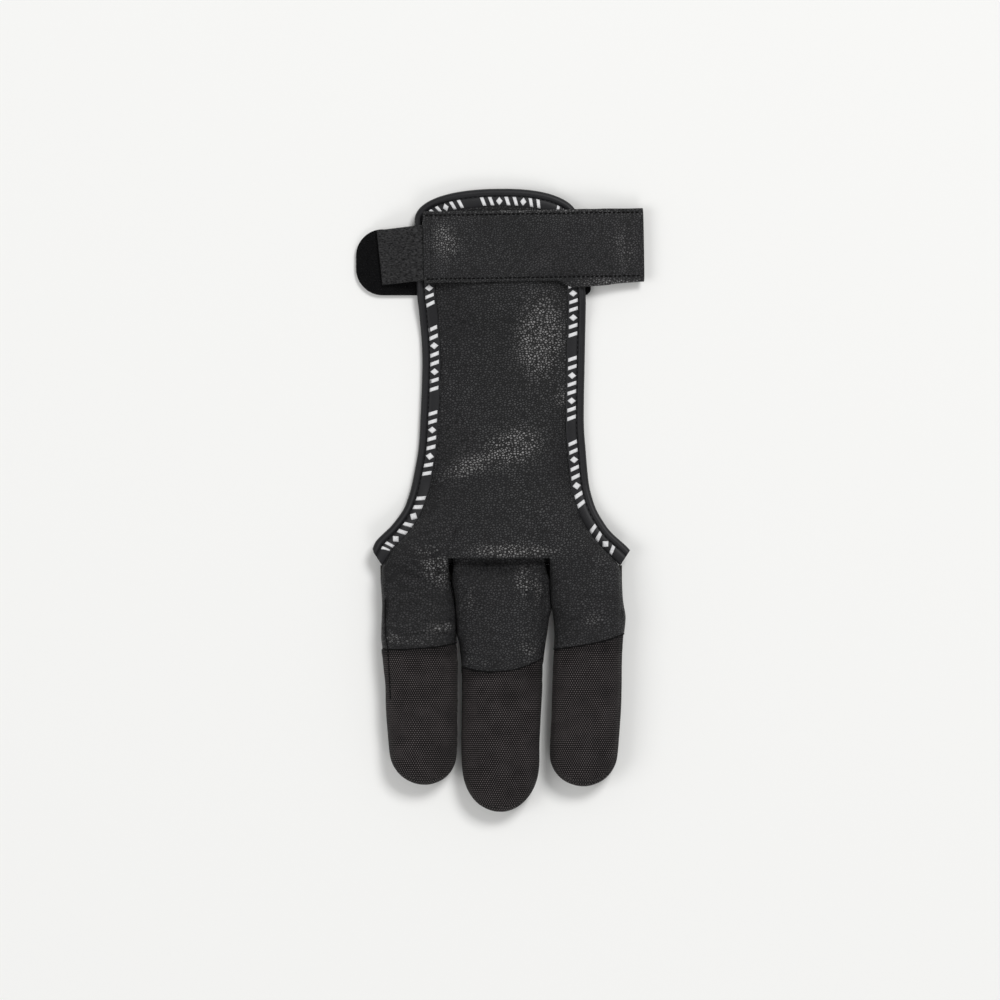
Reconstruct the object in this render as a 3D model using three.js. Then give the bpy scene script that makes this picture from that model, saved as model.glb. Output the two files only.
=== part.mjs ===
// Archery glove: a leather back with three finger stalls, woven fingertips, and a wrist strap
// that closes on a hook tab. It lies on a table, back up and empty.
// X runs across the hand, from the index finger to the ring finger. Y runs from the fingertips
// to the wrist, with the knuckle line at 0 while the pieces are made. Z is up. Millimetres.

import * as THREE from 'three';

// Walls and clearances
const leather = 1.2;            // wall of the leather panels
const weaveWall = 1.5;          // wall of the woven fingertips
const seamGap = 0.3;            // clearance between pieces that are sewn or laid together

// Finger stalls, measured from the knuckle line to the tip
const stallHeight = 12.4;
const indexWidth = 24.2;
const indexLength = 77;
const middleWidth = 27.8;
const middleLength = 86.2;
const ringWidth = 24;
const ringLength = 77.4;
const tipRound = 11;            // length of the index and ring fingers' rounded ends
const middleTipRound = 16;      // length of the middle finger's rounded end
const indexGap = 1.2;           // free gap between the index and middle stalls
const ringGap = 3.2;            // free gap between the middle and ring stalls
const crotchGap = 0.4;          // what is left of both gaps at the crotches
const crotchDown = 8;           // from the knuckle line to the crotches

// Seams where the leather meets the woven fingertips, from the knuckle line
const indexSeam = 29.7;
const middleSeam = 37.4;
const ringSeam = 28.2;
const seamBow = 0.9;            // how far the seams sag in the middle of the finger's back
const indexSeamRise = 1;        // how far the seams rise from their middle to the right side
const middleSeamRise = 1.7;
const ringSeamRise = 2.6;

// Back of the hand
const neckWidth = 55.4;         // over the binding, at the narrowest place
const neckLength = 125.5;       // from the knuckle line to the wrist end
const neckOffset = 0.7;         // neck's centre line, beside the middle finger's
const capHeight = 11.2;         // height of the rounded wrist end
const cornerReach = 2.8;        // how far the binding's corners stand out past the stalls
const wristCrown = 2.9;         // height of the back's crown near the wrist
const knuckleDip = 1;           // depth of the valleys between the knuckles
const tuckDepth = 6;            // how far the middle finger's back runs in under the slot's edge

// Binding tape
const bindingWidth = 5.8;
const bindingThick = 2.8;
const cornerCut = 57;           // degrees below level of the tape's cut ends at the corners
const palmEdge = 2.4;           // from the knuckle line down to the palm leather's edge

// Hook strip that lies under the neck, its tab standing out on the left
const hookWidth = 22.4;
const hookThick = 1.4;
const hookTab = 22.4;           // from the neck's left side to the tab's end
const hookFar = 2;              // from the neck's right side to the strip's other end
const hookUp = 100.5;           // from the knuckle line to the strip's centre line
const hookRound = 9;            // radius of the tab's corners
const hookCorner = 2.4;         // radius of the other end's corners
const hookRise = 14;            // run in which the neck rises over the strip

// Wrist strap, laid over the neck
const strapWidth = 24.4;
const strapThick = 1.2;
const strapFree = 20;           // free end past the neck's right side
const strapStart = 0.4;         // where the strap starts, in from the neck's left side
const strapUp = 106;            // from the knuckle line to the strap's centre line
const strapTurn = 1;            // degrees that the strap is turned in plan
const strapStep = 7;            // run in which it steps down off the elastic's end
const backingThick = 1.1;
const backingLength = 17;       // soft patch under the strap's free end

// Elastic between the tab and the strap
const elasticWidth = 18.8;
const elasticThick = 1.2;
const elasticOut = 14.5;        // from the neck's left side out over the tab
const elasticIn = 8;            // from the neck's left side in under the strap
const elasticUp = 103.2;        // from the knuckle line to the elastic's centre line
const elasticTop = 3.2;         // from the neck's left side to where it is level with the binding
const elasticTurn = 6;          // degrees that the elastic is turned in plan

const gloveLeather = new THREE.MeshStandardMaterial({ color: 0x2c2c2e, roughness: 0.55, metalness: 0 });
const stretchWeave = new THREE.MeshStandardMaterial({ color: 0x2a2829, roughness: 0.85, metalness: 0 });
const bindingTape = new THREE.MeshStandardMaterial({ color: 0x262628, roughness: 0.5, metalness: 0 });
const hookFabric = new THREE.MeshStandardMaterial({ color: 0x161617, roughness: 0.95, metalness: 0 });
const loopFabric = new THREE.MeshStandardMaterial({ color: 0x1d1d1f, roughness: 0.95, metalness: 0 });
const ribbedElastic = new THREE.MeshStandardMaterial({ color: 0x29292b, roughness: 0.8, metalness: 0 });

const glove = new THREE.Group();

const lerp = THREE.MathUtils.lerp;
const degrees = THREE.MathUtils.degToRad;

// Smooth step from 0 to 1 while value goes from low to high.
function ease(value, low, high) {
  return THREE.MathUtils.smoothstep(value, low, high);
}

// Looks a value up in a table of [place, value, value...] rows, with straight runs between them.
function lookUp(table, place, column) {
  if (place <= table[0][0]) {
    return table[0][column];
  }
  for (let row = 1; row < table.length; row += 1) {
    const [low, high] = [table[row - 1], table[row]];
    if (place <= high[0]) {
      return lerp(low[column], high[column], (place - low[0]) / (high[0] - low[0]));
    }
  }
  return table[table.length - 1][column];
}

// Power of a cosine or sine that keeps its sign, for a superellipse.
function rounded(wave, exponent) {
  return Math.sign(wave) * Math.abs(wave) ** (2 / exponent);
}

// Solids

function addMesh(name, vertices, faces, material) {
  const geometry = new THREE.BufferGeometry();
  const positions = vertices.flatMap((point) => [point.x, point.y, point.z]);
  geometry.setAttribute('position', new THREE.Float32BufferAttribute(positions, 3));
  geometry.setIndex(faces.flat());
  geometry.computeVertexNormals();
  const mesh = new THREE.Mesh(geometry, material);
  mesh.name = name;
  glove.add(mesh);
  return mesh;
}

// A closed body through rings of equal counts, with a flat fan on each end.
// The rings turn anticlockwise when seen from the last ring's side.
function addLoft(name, rings, material) {
  const count = rings[0].length;
  const vertices = rings.flat();
  const faces = [];
  for (let ring = 0; ring < rings.length - 1; ring += 1) {
    for (let side = 0; side < count; side += 1) {
      const next = (side + 1) % count;
      const [a, b] = [ring * count + side, ring * count + next];
      faces.push([a, b, b + count], [a, b + count, a + count]);
    }
  }
  const middleOf = (ring) => ring.reduce((sum, point) => sum.add(point), new THREE.Vector3())
    .divideScalar(count);
  const first = vertices.push(middleOf(rings[0])) - 1;
  const last = vertices.push(middleOf(rings[rings.length - 1])) - 1;
  const start = (rings.length - 1) * count;
  for (let side = 0; side < count; side += 1) {
    const next = (side + 1) % count;
    faces.push([first, next, side], [last, start + side, start + next]);
  }
  return addMesh(name, vertices, faces, material);
}

// A sheet of constant wall from a grid of outer points. hasCell says which cells are there, so
// that one sheet can fork into fingers. squareUp turns the wall's direction square to an edge.
function addSheet(name, grid, wall, hasCell, squareUp, material) {
  const rows = grid.length;
  const columns = grid[0].length;
  const outer = [];
  const normals = [];
  for (const row of grid) {
    for (const point of row) {
      outer.push(point);
      normals.push(new THREE.Vector3());
    }
  }
  const at = (row, column) => row * columns + column;
  const cells = [];
  for (let row = 0; row < rows - 1; row += 1) {
    for (let column = 0; column < columns - 1; column += 1) {
      if (hasCell(row, column)) {
        cells.push([at(row, column), at(row, column + 1), at(row + 1, column + 1), at(row + 1, column)]);
      }
    }
  }
  for (const [a, b, c, d] of cells) {
    const across = new THREE.Vector3().subVectors(outer[c], outer[a]);
    const back = new THREE.Vector3().subVectors(outer[d], outer[b]);
    const normal = across.cross(back).normalize();
    for (const corner of [a, b, c, d]) {
      normals[corner].add(normal);
    }
  }
  const numbers = new Map();
  const vertices = [];
  const numberOf = (corner, side) => {
    const key = `${corner} ${side}`;
    if (!numbers.has(key)) {
      const normal = normals[corner].clone();
      squareUp(Math.floor(corner / columns), corner % columns, normal);
      const depth = side === 'inner' ? -wall : 0;
      vertices.push(outer[corner].clone().addScaledVector(normal.normalize(), depth));
      numbers.set(key, vertices.length - 1);
    }
    return numbers.get(key);
  };
  const faces = [];
  const edges = new Map();
  for (const [a, b, c, d] of cells) {
    const [oa, ob, oc, od] = [a, b, c, d].map((corner) => numberOf(corner, 'outer'));
    const [ia, ib, ic, id] = [a, b, c, d].map((corner) => numberOf(corner, 'inner'));
    faces.push([oa, ob, oc], [oa, oc, od], [ia, ic, ib], [ia, id, ic]);
    for (const [from, to] of [[a, b], [b, c], [c, d], [d, a]]) {
      edges.set(`${from} ${to}`, [from, to]);
    }
  }
  for (const [from, to] of edges.values()) {
    if (!edges.has(`${to} ${from}`)) {
      const [of, ot] = [numberOf(from, 'outer'), numberOf(to, 'outer')];
      const [inf, int] = [numberOf(from, 'inner'), numberOf(to, 'inner')];
      faces.push([of, inf, int], [of, int, ot]);
    }
  }
  return addMesh(name, vertices, faces, material);
}

// Finger stalls

// Middle finger's sections: [down, shift of the centre, width], as shares of its length and width.
const middleSections = [
  [0.00, -0.031, 1.223],
  [0.10, -0.018, 1.187],
  [0.154, 0.006, 1.151],
  [0.228, 0.026, 1.129],
  [0.324, 0.009, 1.072],
  [0.403, 0.012, 1.000],
  [0.56, 0.004, 0.985],
  [0.72, -0.012, 0.965],
  [1.00, -0.016, 0.955],
];

// Index and ring fingers' widths: [down, width], as shares of their length and width.
const indexSections = [
  [0.00, 0.945],
  [0.11, 0.975],
  [0.27, 1.045],
  [0.385, 1.054],
  [0.54, 0.985],
  [0.70, 0.975],
  [0.84, 0.945],
  [1.00, 0.93],
];
const ringSections = [
  [0.00, 1.015],
  [0.25, 1.030],
  [0.36, 0.975],
  [0.54, 0.992],
  [0.68, 0.995],
  [0.84, 0.980],
  [1.00, 0.96],
];

// How far the gaps between the stalls have opened: [down, share], down as a share of the
// middle finger's length.
const indexGapShares = [[0.2, 0], [0.5, 1], [0.6, 0.9]];
const ringGapShares = [[0.18, 0], [0.32, 0.85], [0.48, 1], [0.75, 1]];

// The two sides of the middle stall, and of the stalls next to it, at a place down the fingers.
function middleSides(down) {
  const share = down / middleLength;
  const centre = lookUp(middleSections, share, 1) * middleWidth;
  const half = lookUp(middleSections, share, 2) * middleWidth / 2;
  return [centre - half, centre + half];
}

function indexSides(down) {
  const gap = lerp(crotchGap, indexGap, lookUp(indexGapShares, down / middleLength, 1));
  const right = middleSides(down)[0] - gap;
  return [right - lookUp(indexSections, down / indexLength, 1) * indexWidth, right];
}

function ringSides(down) {
  const gap = lerp(crotchGap, ringGap, lookUp(ringGapShares, down / middleLength, 1));
  const left = middleSides(down)[1] + gap;
  return [left, left + lookUp(ringSections, down / ringLength, 1) * ringWidth];
}

const index = {
  name: 'index', length: indexLength, sides: indexSides, round: tipRound, seam: indexSeam,
  rise: indexSeamRise,
};
const middle = {
  name: 'middle', length: middleLength, sides: middleSides, round: middleTipRound,
  seam: middleSeam, rise: middleSeamRise,
};
const ring = {
  name: 'ring', length: ringLength, sides: ringSides, round: tipRound, seam: ringSeam,
  rise: ringSeamRise,
};

const backExponent = 2.5;       // roundness of a stall's upper half, 2 being an ellipse
const valleyExponent = 0.8;     // roundness of the knuckle valleys, seen from the wrist
const crownExponent = 2.4;      // roundness of the back's crown, seen from the wrist
const tuckSlope = 0.09;         // fall of the tucked leather under the slot's edge
const palmBase = 0.2;           // height of the palm leather's edge in the valleys, of its height beyond
const palmCrotchEnd = 1.5 * crotchDown;
const palmExponent = 3.6;       // roundness of a stall's lower half
const tipExponent = 2.06;       // roundness of a stall's end, seen from above

// Where a finger's leather ends, at an angle round the stall.
function seamDown(finger, angle) {
  return finger.seam - finger.rise * Math.cos(angle) + seamBow * Math.sin(angle) ** 2;
}

// X of a stall's wall. The angle goes from the right side, over the back, to the left side.
function stallX(finger, down, angle, inset) {
  const [left, right] = finger.sides(down);
  const exponent = Math.sin(angle) < 0 ? palmExponent : backExponent;
  return (left + right) / 2 + ((right - left) / 2 - inset) * rounded(Math.cos(angle), exponent);
}

// A point on a stall's tube; a bigger inset is further in. The tube's end is rounded.
function tubePoint(finger, down, angle, inset) {
  const roundStart = finger.length - finger.round;
  const share = Math.max(0, (down - roundStart) / (finger.round - inset));
  const shrink = Math.max(0, 1 - Math.min(1, share) ** tipExponent) ** (1 / tipExponent);
  const [left, right] = finger.sides(down);
  const middleX = (left + right) / 2;
  const x = middleX + (stallX(finger, down, angle, inset) - middleX) * shrink;
  const exponent = Math.sin(angle) < 0 ? palmExponent : backExponent;
  const half = stallHeight / 2 - inset;
  const z = stallHeight / 2 + half * rounded(Math.sin(angle), exponent) * shrink;
  return new THREE.Vector3(x, -down, z);
}

// Hollow woven fingertip: the outer wall to the tip, then the inner wall back to the seam.
const tipSides = 20;
const tipSleeveRows = 6;
const tipEndRows = 5;
const lastRowGap = 0.6;         // rows between the last ring and the end's pole

function addFingertip(finger) {
  const vertices = [];
  const faces = [];
  const wallRings = (inset) => {
    const rings = [];
    const roundStart = finger.length - finger.round;
    const rows = tipSleeveRows + tipEndRows;
    for (let row = 0; row <= rows; row += 1) {
      const points = [];
      for (let side = 0; side < tipSides; side += 1) {
        const angle = side / tipSides * 2 * Math.PI;
        const start = seamDown(finger, angle) + seamGap / 2;
        let down = lerp(start, roundStart, row / tipSleeveRows);
        if (row > tipSleeveRows) {
          const turn = (row - tipSleeveRows) / (tipEndRows + lastRowGap) * Math.PI / 2;
          down = roundStart + (finger.round - inset) * Math.sin(turn);
        }
        vertices.push(tubePoint(finger, down, angle, inset));
        points.push(vertices.length - 1);
      }
      rings.push(points);
    }
    return rings;
  };
  const outer = wallRings(0);
  const inner = wallRings(weaveWall);
  const endDown = finger.length;
  const outerEnd = vertices.push(tubePoint(finger, endDown, 0, 0)) - 1;
  const innerEnd = vertices.push(tubePoint(finger, endDown - weaveWall, 0, weaveWall)) - 1;
  const last = outer.length - 1;
  for (let side = 0; side < tipSides; side += 1) {
    const next = (side + 1) % tipSides;
    for (let row = 0; row < last; row += 1) {
      const [a, b, c, d] = [outer[row][side], outer[row][next], outer[row + 1][next], outer[row + 1][side]];
      faces.push([a, b, c], [a, c, d]);
      const [e, f, g, h] = [inner[row][side], inner[row][next], inner[row + 1][next], inner[row + 1][side]];
      faces.push([e, g, f], [e, h, g]);
    }
    faces.push([outer[last][side], outer[last][next], outerEnd]);
    faces.push([inner[last][side], innerEnd, inner[last][next]]);
    const [a, b, c, d] = [outer[0][side], outer[0][next], inner[0][next], inner[0][side]];
    faces.push([a, c, b], [a, d, c]);
  }
  addMesh(`${finger.name}_tip`, vertices, faces, stretchWeave);
}

// Outline of the back: the binding's outer edge

// Flare of the neck's sides: [up, left, right]. Up is a share of the neck's length; left and
// right are shares of the reach from the neck's side to the corner on that side.
const flareShares = [
  [0.022, 1.00, 1.00],
  [0.035, 0.97, 0.90],
  [0.049, 0.91, 0.77],
  [0.068, 0.77, 0.60],
  [0.089, 0.61, 0.46],
  [0.130, 0.385, 0.26],
  [0.171, 0.265, 0.145],
  [0.211, 0.19, 0.08],
  [0.293, 0.08, 0.02],
  [0.374, 0.04, -0.02],
  [0.537, 0.00, 0.00],
  [0.659, 0.06, 0.02],
  [0.705, 0.10, 0.02],
  [0.790, 0.13, -0.03],
  [0.850, 0.15, -0.09],
  [0.911, 0.155, -0.14],
];

const neckHalf = neckWidth / 2;
const leftReach = neckOffset - indexSides(0)[0] - neckHalf + cornerReach;
const rightReach = ringSides(0)[1] - neckOffset - neckHalf + cornerReach;
const capStart = neckLength - capHeight;
const capExponent = 2.3;
const capSteps = 24;

function outlinePoints() {
  const points = [];
  const low = flareShares[0][0] * neckLength;
  const flareSpan = flareShares[flareShares.length - 1][0] - flareShares[0][0];
  const place = (row) => lerp(low, capStart, (row[0] - flareShares[0][0]) / flareSpan);
  for (const row of flareShares) {
    points.push(new THREE.Vector2(neckOffset - neckHalf - row[1] * leftReach, place(row)));
  }
  const lastRow = flareShares[flareShares.length - 1];
  const leftHalf = neckHalf + lastRow[1] * leftReach;
  const rightHalf = neckHalf + lastRow[2] * rightReach;
  for (let step = 1; step < capSteps; step += 1) {
    const angle = Math.PI - step / capSteps * Math.PI;
    const wide = Math.cos(angle) < 0 ? leftHalf : rightHalf;
    const x = neckOffset + wide * rounded(Math.cos(angle), capExponent);
    points.push(new THREE.Vector2(x, capStart + capHeight * rounded(Math.sin(angle), capExponent)));
  }
  for (const row of [...flareShares].reverse()) {
    points.push(new THREE.Vector2(neckOffset + neckHalf + row[2] * rightReach, place(row)));
  }
  return points;
}

const outline = outlinePoints();

// Direction into the glove at each point of the outline, and along the cut at its two ends.
const cut = new THREE.Vector2(Math.cos(degrees(cornerCut)), -Math.sin(degrees(cornerCut)));
const inward = outline.map((point, number) => {
  if (number === 0 || number === outline.length - 1) {
    return new THREE.Vector2(number === 0 ? cut.x : -cut.x, cut.y);
  }
  const before = outline[number - 1];
  const after = outline[number + 1];
  return new THREE.Vector2(after.y - before.y, before.x - after.x).normalize();
});

const leatherEdge = outline.map((point, number) => {
  return point.clone().addScaledVector(inward[number], bindingWidth + seamGap);
});
const sideCount = flareShares.length;
const leftEdge = leatherEdge.slice(0, sideCount);
const rightEdge = leatherEdge.slice(leatherEdge.length - sideCount).reverse();
const capEdge = leatherEdge.slice(sideCount - 1, leatherEdge.length - sideCount + 1);

// X of the leather's left or right edge at a height up the neck.
function edgeX(edge, up) {
  return lookUp(edge.map((point) => [point.y, point.x]), up, 1);
}

// Height up the neck of the leather's rounded end, at a place across.
function capUp(x) {
  return lookUp(capEdge.map((point) => [point.x, point.y]), x, 1);
}

// Heights above the table

const sideSeam = stallHeight / 2 + seamGap / 2;      // lower edge of the stalls' backs
const bindingRise = (bindingThick + leather) / 2;    // from the binding's underside to the leather's top
const hookLow = hookUp - hookWidth / 2;
const flareEnd = 0.22 * neckLength;                  // where the sides have come down to the table
const crownEnd = 0.62 * neckLength;                  // where the middle has come down to the crown

// The neck's lift over the hook strip.
function hookLift(up) {
  return (hookThick + seamGap) * ease(up, hookLow - hookRise, hookLow - seamGap);
}

function bindingLow(up) {
  return lerp(sideSeam - bindingRise, hookLift(up), ease(up, 0, flareEnd));
}

function crownTop(up) {
  return lerp(stallHeight, wristCrown + hookLift(up), ease(up, 0, crownEnd));
}

// Lower edge of the backs in the valleys between the fingers.
function valleyTop(down) {
  return lerp(stallHeight - knuckleDip, sideSeam, ease(down, 0, crotchDown));
}

// Leather back with the index and ring fingers' backs

const fingerCells = 12;
const slotCells = 8;
const neckRows = 22;
const backRows = 8;
const backColumns = 2 * fingerCells + slotCells;

// Where a column lies: its finger, or the slot, with its angle or its share across.
function columnPlace(column) {
  if (column <= fingerCells) {
    return { finger: index, angle: Math.PI * (1 - column / fingerCells) };
  }
  if (column >= fingerCells + slotCells) {
    return { finger: ring, angle: Math.PI * (backColumns - column) / fingerCells };
  }
  return { finger: null, across: (column - fingerCells) / slotCells };
}

// The knuckle row: down from the knuckle line it bows from the corners up to the slot.
const leftStart = -leftEdge[0].y;
const rightStart = -rightEdge[0].y;

function knuckleDown(column) {
  const { finger } = columnPlace(column);
  if (finger === index) {
    return leftStart * (1 - ease(column, 0, fingerCells));
  }
  if (finger === ring) {
    return rightStart * ease(column, fingerCells + slotCells, backColumns);
  }
  return 0;
}

// X and height share of a column in the knuckle row, before it is fitted to the corners.
function knuckleColumn(column) {
  const { finger, angle, across } = columnPlace(column);
  const valley = (valleyTop(0) - sideSeam) / (stallHeight - sideSeam);
  if (finger === null) {
    const x = lerp(index.sides(0)[1], ring.sides(0)[0], across);
    return { x, height: lerp(valley, 1, Math.sin(across * Math.PI) ** valleyExponent) };
  }
  const arch = rounded(Math.sin(angle), backExponent);
  const towardSlot = finger === index ? Math.cos(angle) > 0 : Math.cos(angle) < 0;
  const x = stallX(finger, knuckleDown(column), angle, 0);
  return { x, height: towardSlot ? lerp(valley, 1, arch) : arch };
}

const knuckleColumns = [];
for (let column = 0; column <= backColumns; column += 1) {
  knuckleColumns.push(knuckleColumn(column));
}
const knuckleSpan = knuckleColumns[backColumns].x - knuckleColumns[0].x;
const columnShares = knuckleColumns.map(({ x }) => (x - knuckleColumns[0].x) / knuckleSpan);

// A point of the neck and the back of the hand. Rise goes from 0 at the knuckles to 1 at the wrist.
function neckPoint(column, rise) {
  const share = columnShares[column];
  const leftUp = lerp(-leftStart, leftEdge[sideCount - 1].y, rise);
  const rightUp = lerp(-rightStart, rightEdge[sideCount - 1].y, rise);
  const x = lerp(edgeX(leftEdge, leftUp), edgeX(rightEdge, rightUp), share);
  const endX = lerp(leftEdge[sideCount - 1].x, rightEdge[sideCount - 1].x, share);
  const up = lerp(-knuckleDown(column), capUp(endX), rise);
  const arch = 1 - Math.abs(2 * share - 1) ** crownExponent;
  const height = lerp(knuckleColumns[column].height, arch, ease(up, 0, flareEnd));
  const edgeTop = bindingLow(up) + bindingRise;
  return new THREE.Vector3(x, up, lerp(edgeTop, crownTop(up), height));
}

// A point of the index or ring finger's back. Run goes from 0 at the knuckles to 1 at the seam.
function fingerBackPoint(column, run) {
  const { finger, angle } = columnPlace(column);
  const start = knuckleDown(column);
  const down = lerp(start, seamDown(finger, angle) - seamGap / 2, run);
  const shift = neckPoint(column, 0).x - stallX(finger, start, angle, 0);
  const x = stallX(finger, down, angle, 0) + shift * (1 - ease(down - start, 0, crotchDown));
  const towardSlot = finger === index ? Math.cos(angle) > 0 : Math.cos(angle) < 0;
  const low = towardSlot ? valleyTop(down) : sideSeam;
  const z = lerp(low, stallHeight, rounded(Math.sin(angle), backExponent));
  return new THREE.Vector3(x, -down, z);
}

function addBackPanel() {
  const grid = [];
  for (let row = backRows; row > 0; row -= 1) {
    const points = [];
    for (let column = 0; column <= backColumns; column += 1) {
      const inSlot = columnPlace(column).finger === null;
      points.push(inSlot ? neckPoint(column, 0) : fingerBackPoint(column, row / backRows));
    }
    grid.push(points);
  }
  for (let row = 0; row <= neckRows; row += 1) {
    const points = [];
    for (let column = 0; column <= backColumns; column += 1) {
      points.push(neckPoint(column, row / neckRows));
    }
    grid.push(points);
  }
  const inSlot = (column) => column >= fingerCells && column < fingerCells + slotCells;
  const hasCell = (row, column) => row >= backRows || !inSlot(column);
  const squareUp = (row, column, normal) => {
    const atSide = column === 0 || column === backColumns;
    const atSlot = column === fingerCells || column === fingerCells + slotCells;
    if (row < backRows && (atSide || atSlot)) {
      normal.z = 0;
    }
  };
  addSheet('back_panel', grid, leather, hasCell, squareUp, gloveLeather);
}

// Middle finger's own back, tucked under the slot's edge

const middleCells = 14;
const middleRows = 11;

// How far it is held down under the back panel.
function tuckDrop(down) {
  const held = (leather + seamGap) * (1 - ease(down, seamGap, tuckDepth));
  return held + Math.max(0, -down) * tuckSlope;
}

function addMiddleBack() {
  const grid = [];
  for (let row = middleRows; row >= 0; row -= 1) {
    const points = [];
    for (let column = 0; column <= middleCells; column += 1) {
      const angle = Math.PI * (1 - column / middleCells);
      const down = lerp(-tuckDepth, seamDown(middle, angle) - seamGap / 2, row / middleRows);
      const inset = seamGap * 3 * (1 - ease(down, 0, tuckDepth));
      const low = valleyTop(Math.max(0, down)) - tuckDrop(down);
      const top = stallHeight - tuckDrop(down);
      const z = lerp(low, top, rounded(Math.sin(angle), backExponent));
      points.push(new THREE.Vector3(stallX(middle, down, angle, inset), -down, z));
    }
    grid.push(points);
  }
  const squareUp = (row, column, normal) => {
    if (column === 0 || column === middleCells) {
      normal.z = 0;
    }
  };
  addSheet('middle_finger_back', grid, leather, () => true, squareUp, gloveLeather);
}

// Palm side of the stalls

const palmCells = 10;
const palmColumns = 3 * palmCells + 2;
const palmBaseRows = 3;
const palmFingerRows = 7;
const palmSeam = stallHeight / 2 - seamGap / 2;     // upper edge of the stalls' palm sides

// Height of the palm leather in the valleys between the fingers.
function palmValley(down) {
  const crotch = palmSeam - leather - seamGap;
  const base = palmBase * crotch;
  return down < crotchDown
    ? lerp(base, crotch, ease(down, palmEdge, crotchDown))
    : lerp(crotch, palmSeam, ease(down, crotchDown, palmCrotchEnd));
}

// The finger and angle of a palm column, counted from the index finger's outer side.
function palmPlace(column) {
  const number = Math.min(2, Math.floor(column / (palmCells + 1)));
  const step = column - number * (palmCells + 1);
  return { finger: [index, middle, ring][number], angle: Math.PI * (1 + step / palmCells) };
}

// The palm side is a soft wave at its free edge, and takes the stalls' own form from the crotches.
function palmPoint(column, down) {
  const { finger, angle } = palmPlace(column);
  const leftSide = Math.cos(angle) < 0;
  const atSide = (finger === index && leftSide) || (finger === ring && !leftSide);
  const side = atSide ? palmSeam : palmValley(down);
  const tube = Math.abs(rounded(Math.sin(angle), palmExponent));
  const belly = lerp(Math.sin(angle) ** 2, tube, ease(down, palmEdge, palmCrotchEnd));
  return new THREE.Vector3(stallX(finger, down, angle, 0), -down, lerp(side, 0, belly));
}

function addPalmPanel() {
  const grid = [];
  for (let row = 0; row <= palmBaseRows + palmFingerRows; row += 1) {
    const points = [];
    for (let column = 0; column <= palmColumns; column += 1) {
      const { finger, angle } = palmPlace(column);
      let down = lerp(palmEdge, crotchDown, row / palmBaseRows);
      if (row > palmBaseRows) {
        const end = seamDown(finger, angle) - seamGap / 2;
        down = lerp(crotchDown, end, (row - palmBaseRows) / palmFingerRows);
      }
      points.push(palmPoint(column, down));
    }
    grid.push(points);
  }
  const isValley = (column) => column % (palmCells + 1) === palmCells;
  const hasCell = (row, column) => row < palmBaseRows || !isValley(column);
  const squareUp = (row, column, normal) => {
    const inValley = column % (palmCells + 1) === 0 || isValley(column);
    if (column === 0 || column === palmColumns || (inValley && row > palmBaseRows)) {
      normal.z = 0;
    }
    if (row === 0) {
      normal.y = 0;
    }
  };
  addSheet('palm_panel', grid, leather, hasCell, squareUp, gloveLeather);
}

// Binding round the back's free edge

const bindingSides = 8;

// A flat oval section: from 0 to 1 across, and from 0 to 1 in height.
function tapeSection(side) {
  const angle = side / bindingSides * 2 * Math.PI;
  const across = (1 - rounded(Math.cos(angle), 4)) / 2;
  const height = (1 + rounded(Math.sin(angle), 3)) / 2;
  return { across, height };
}

function addEdgeBinding() {
  const rings = outline.map((point, number) => {
    const points = [];
    for (let side = 0; side < bindingSides; side += 1) {
      const { across, height } = tapeSection(side);
      const place = point.clone().addScaledVector(inward[number], across * bindingWidth);
      const z = bindingLow(point.y) + height * bindingThick;
      points.push(new THREE.Vector3(place.x, place.y, z));
    }
    return points;
  });
  addLoft('edge_binding', rings, bindingTape);
}

// Binding along the palm leather's edge, from side to side below the corners.
function addPalmBinding() {
  const insetPoint = (column, down, inset) => {
    const before = palmPoint(Math.max(0, column - 1), down);
    const after = palmPoint(Math.min(palmColumns, column + 1), down);
    const normal = new THREE.Vector3(before.z - after.z, 0, after.x - before.x).normalize();
    return palmPoint(column, down).addScaledVector(normal, inset);
  };
  const limit = sideSeam - bindingRise - seamGap;
  const columns = [];
  for (let column = 0; column <= palmColumns; column += 1) {
    if (insetPoint(column, palmEdge, bindingThick).z < limit) {
      columns.push(column);
    }
  }
  const rings = columns.map((column) => {
    const points = [];
    for (let side = 0; side < bindingSides; side += 1) {
      const { across, height } = tapeSection(side);
      const down = palmEdge - seamGap - across * bindingWidth;
      points.push(insetPoint(column, down, height * bindingThick));
    }
    return points;
  });
  addLoft('palm_binding', rings.reverse(), bindingTape);
}

// Straps

const strapLow = hookThick + seamGap + Math.max(bindingThick, wristCrown) + seamGap;
const neckLeft = neckOffset - neckHalf;
const neckRight = neckOffset + neckHalf;

// Section of a strap with chamfered corners: [side, height] as shares of half its width and of
// its thickness.
const strapCorners = [
  [-1, 0.25],
  [-0.97, 0],
  [0.97, 0],
  [1, 0.25],
  [1, 0.75],
  [0.97, 1],
  [-0.97, 1],
  [-1, 0.75],
];

// A strap along X whose underside follows lowAt(x), turned in plan about its own middle.
function addStrap(name, from, to, up, width, thick, lowAt, turn, steps, material) {
  const rings = [];
  const middleX = (from + to) / 2;
  for (let step = 0; step <= steps; step += 1) {
    const x = lerp(from, to, step / steps);
    const low = lowAt(x);
    const points = strapCorners.map(([side, height]) => {
      const plan = new THREE.Vector2(x - middleX, side * width / 2);
      plan.rotateAround(new THREE.Vector2(), degrees(turn));
      return new THREE.Vector3(middleX + plan.x, up + plan.y, low + height * thick);
    });
    rings.push(points);
  }
  return addLoft(name, rings, material);
}

const strapRows = 34;
const backingRows = 9;
const elasticRows = 16;
const strapFrom = neckLeft + strapStart;
const strapTo = neckRight + strapFree;
const elasticEnd = neckLeft + elasticIn;
const freeDrop = 0.6 * (strapLow - backingThick - seamGap * 2);   // sag of the free end

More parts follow.
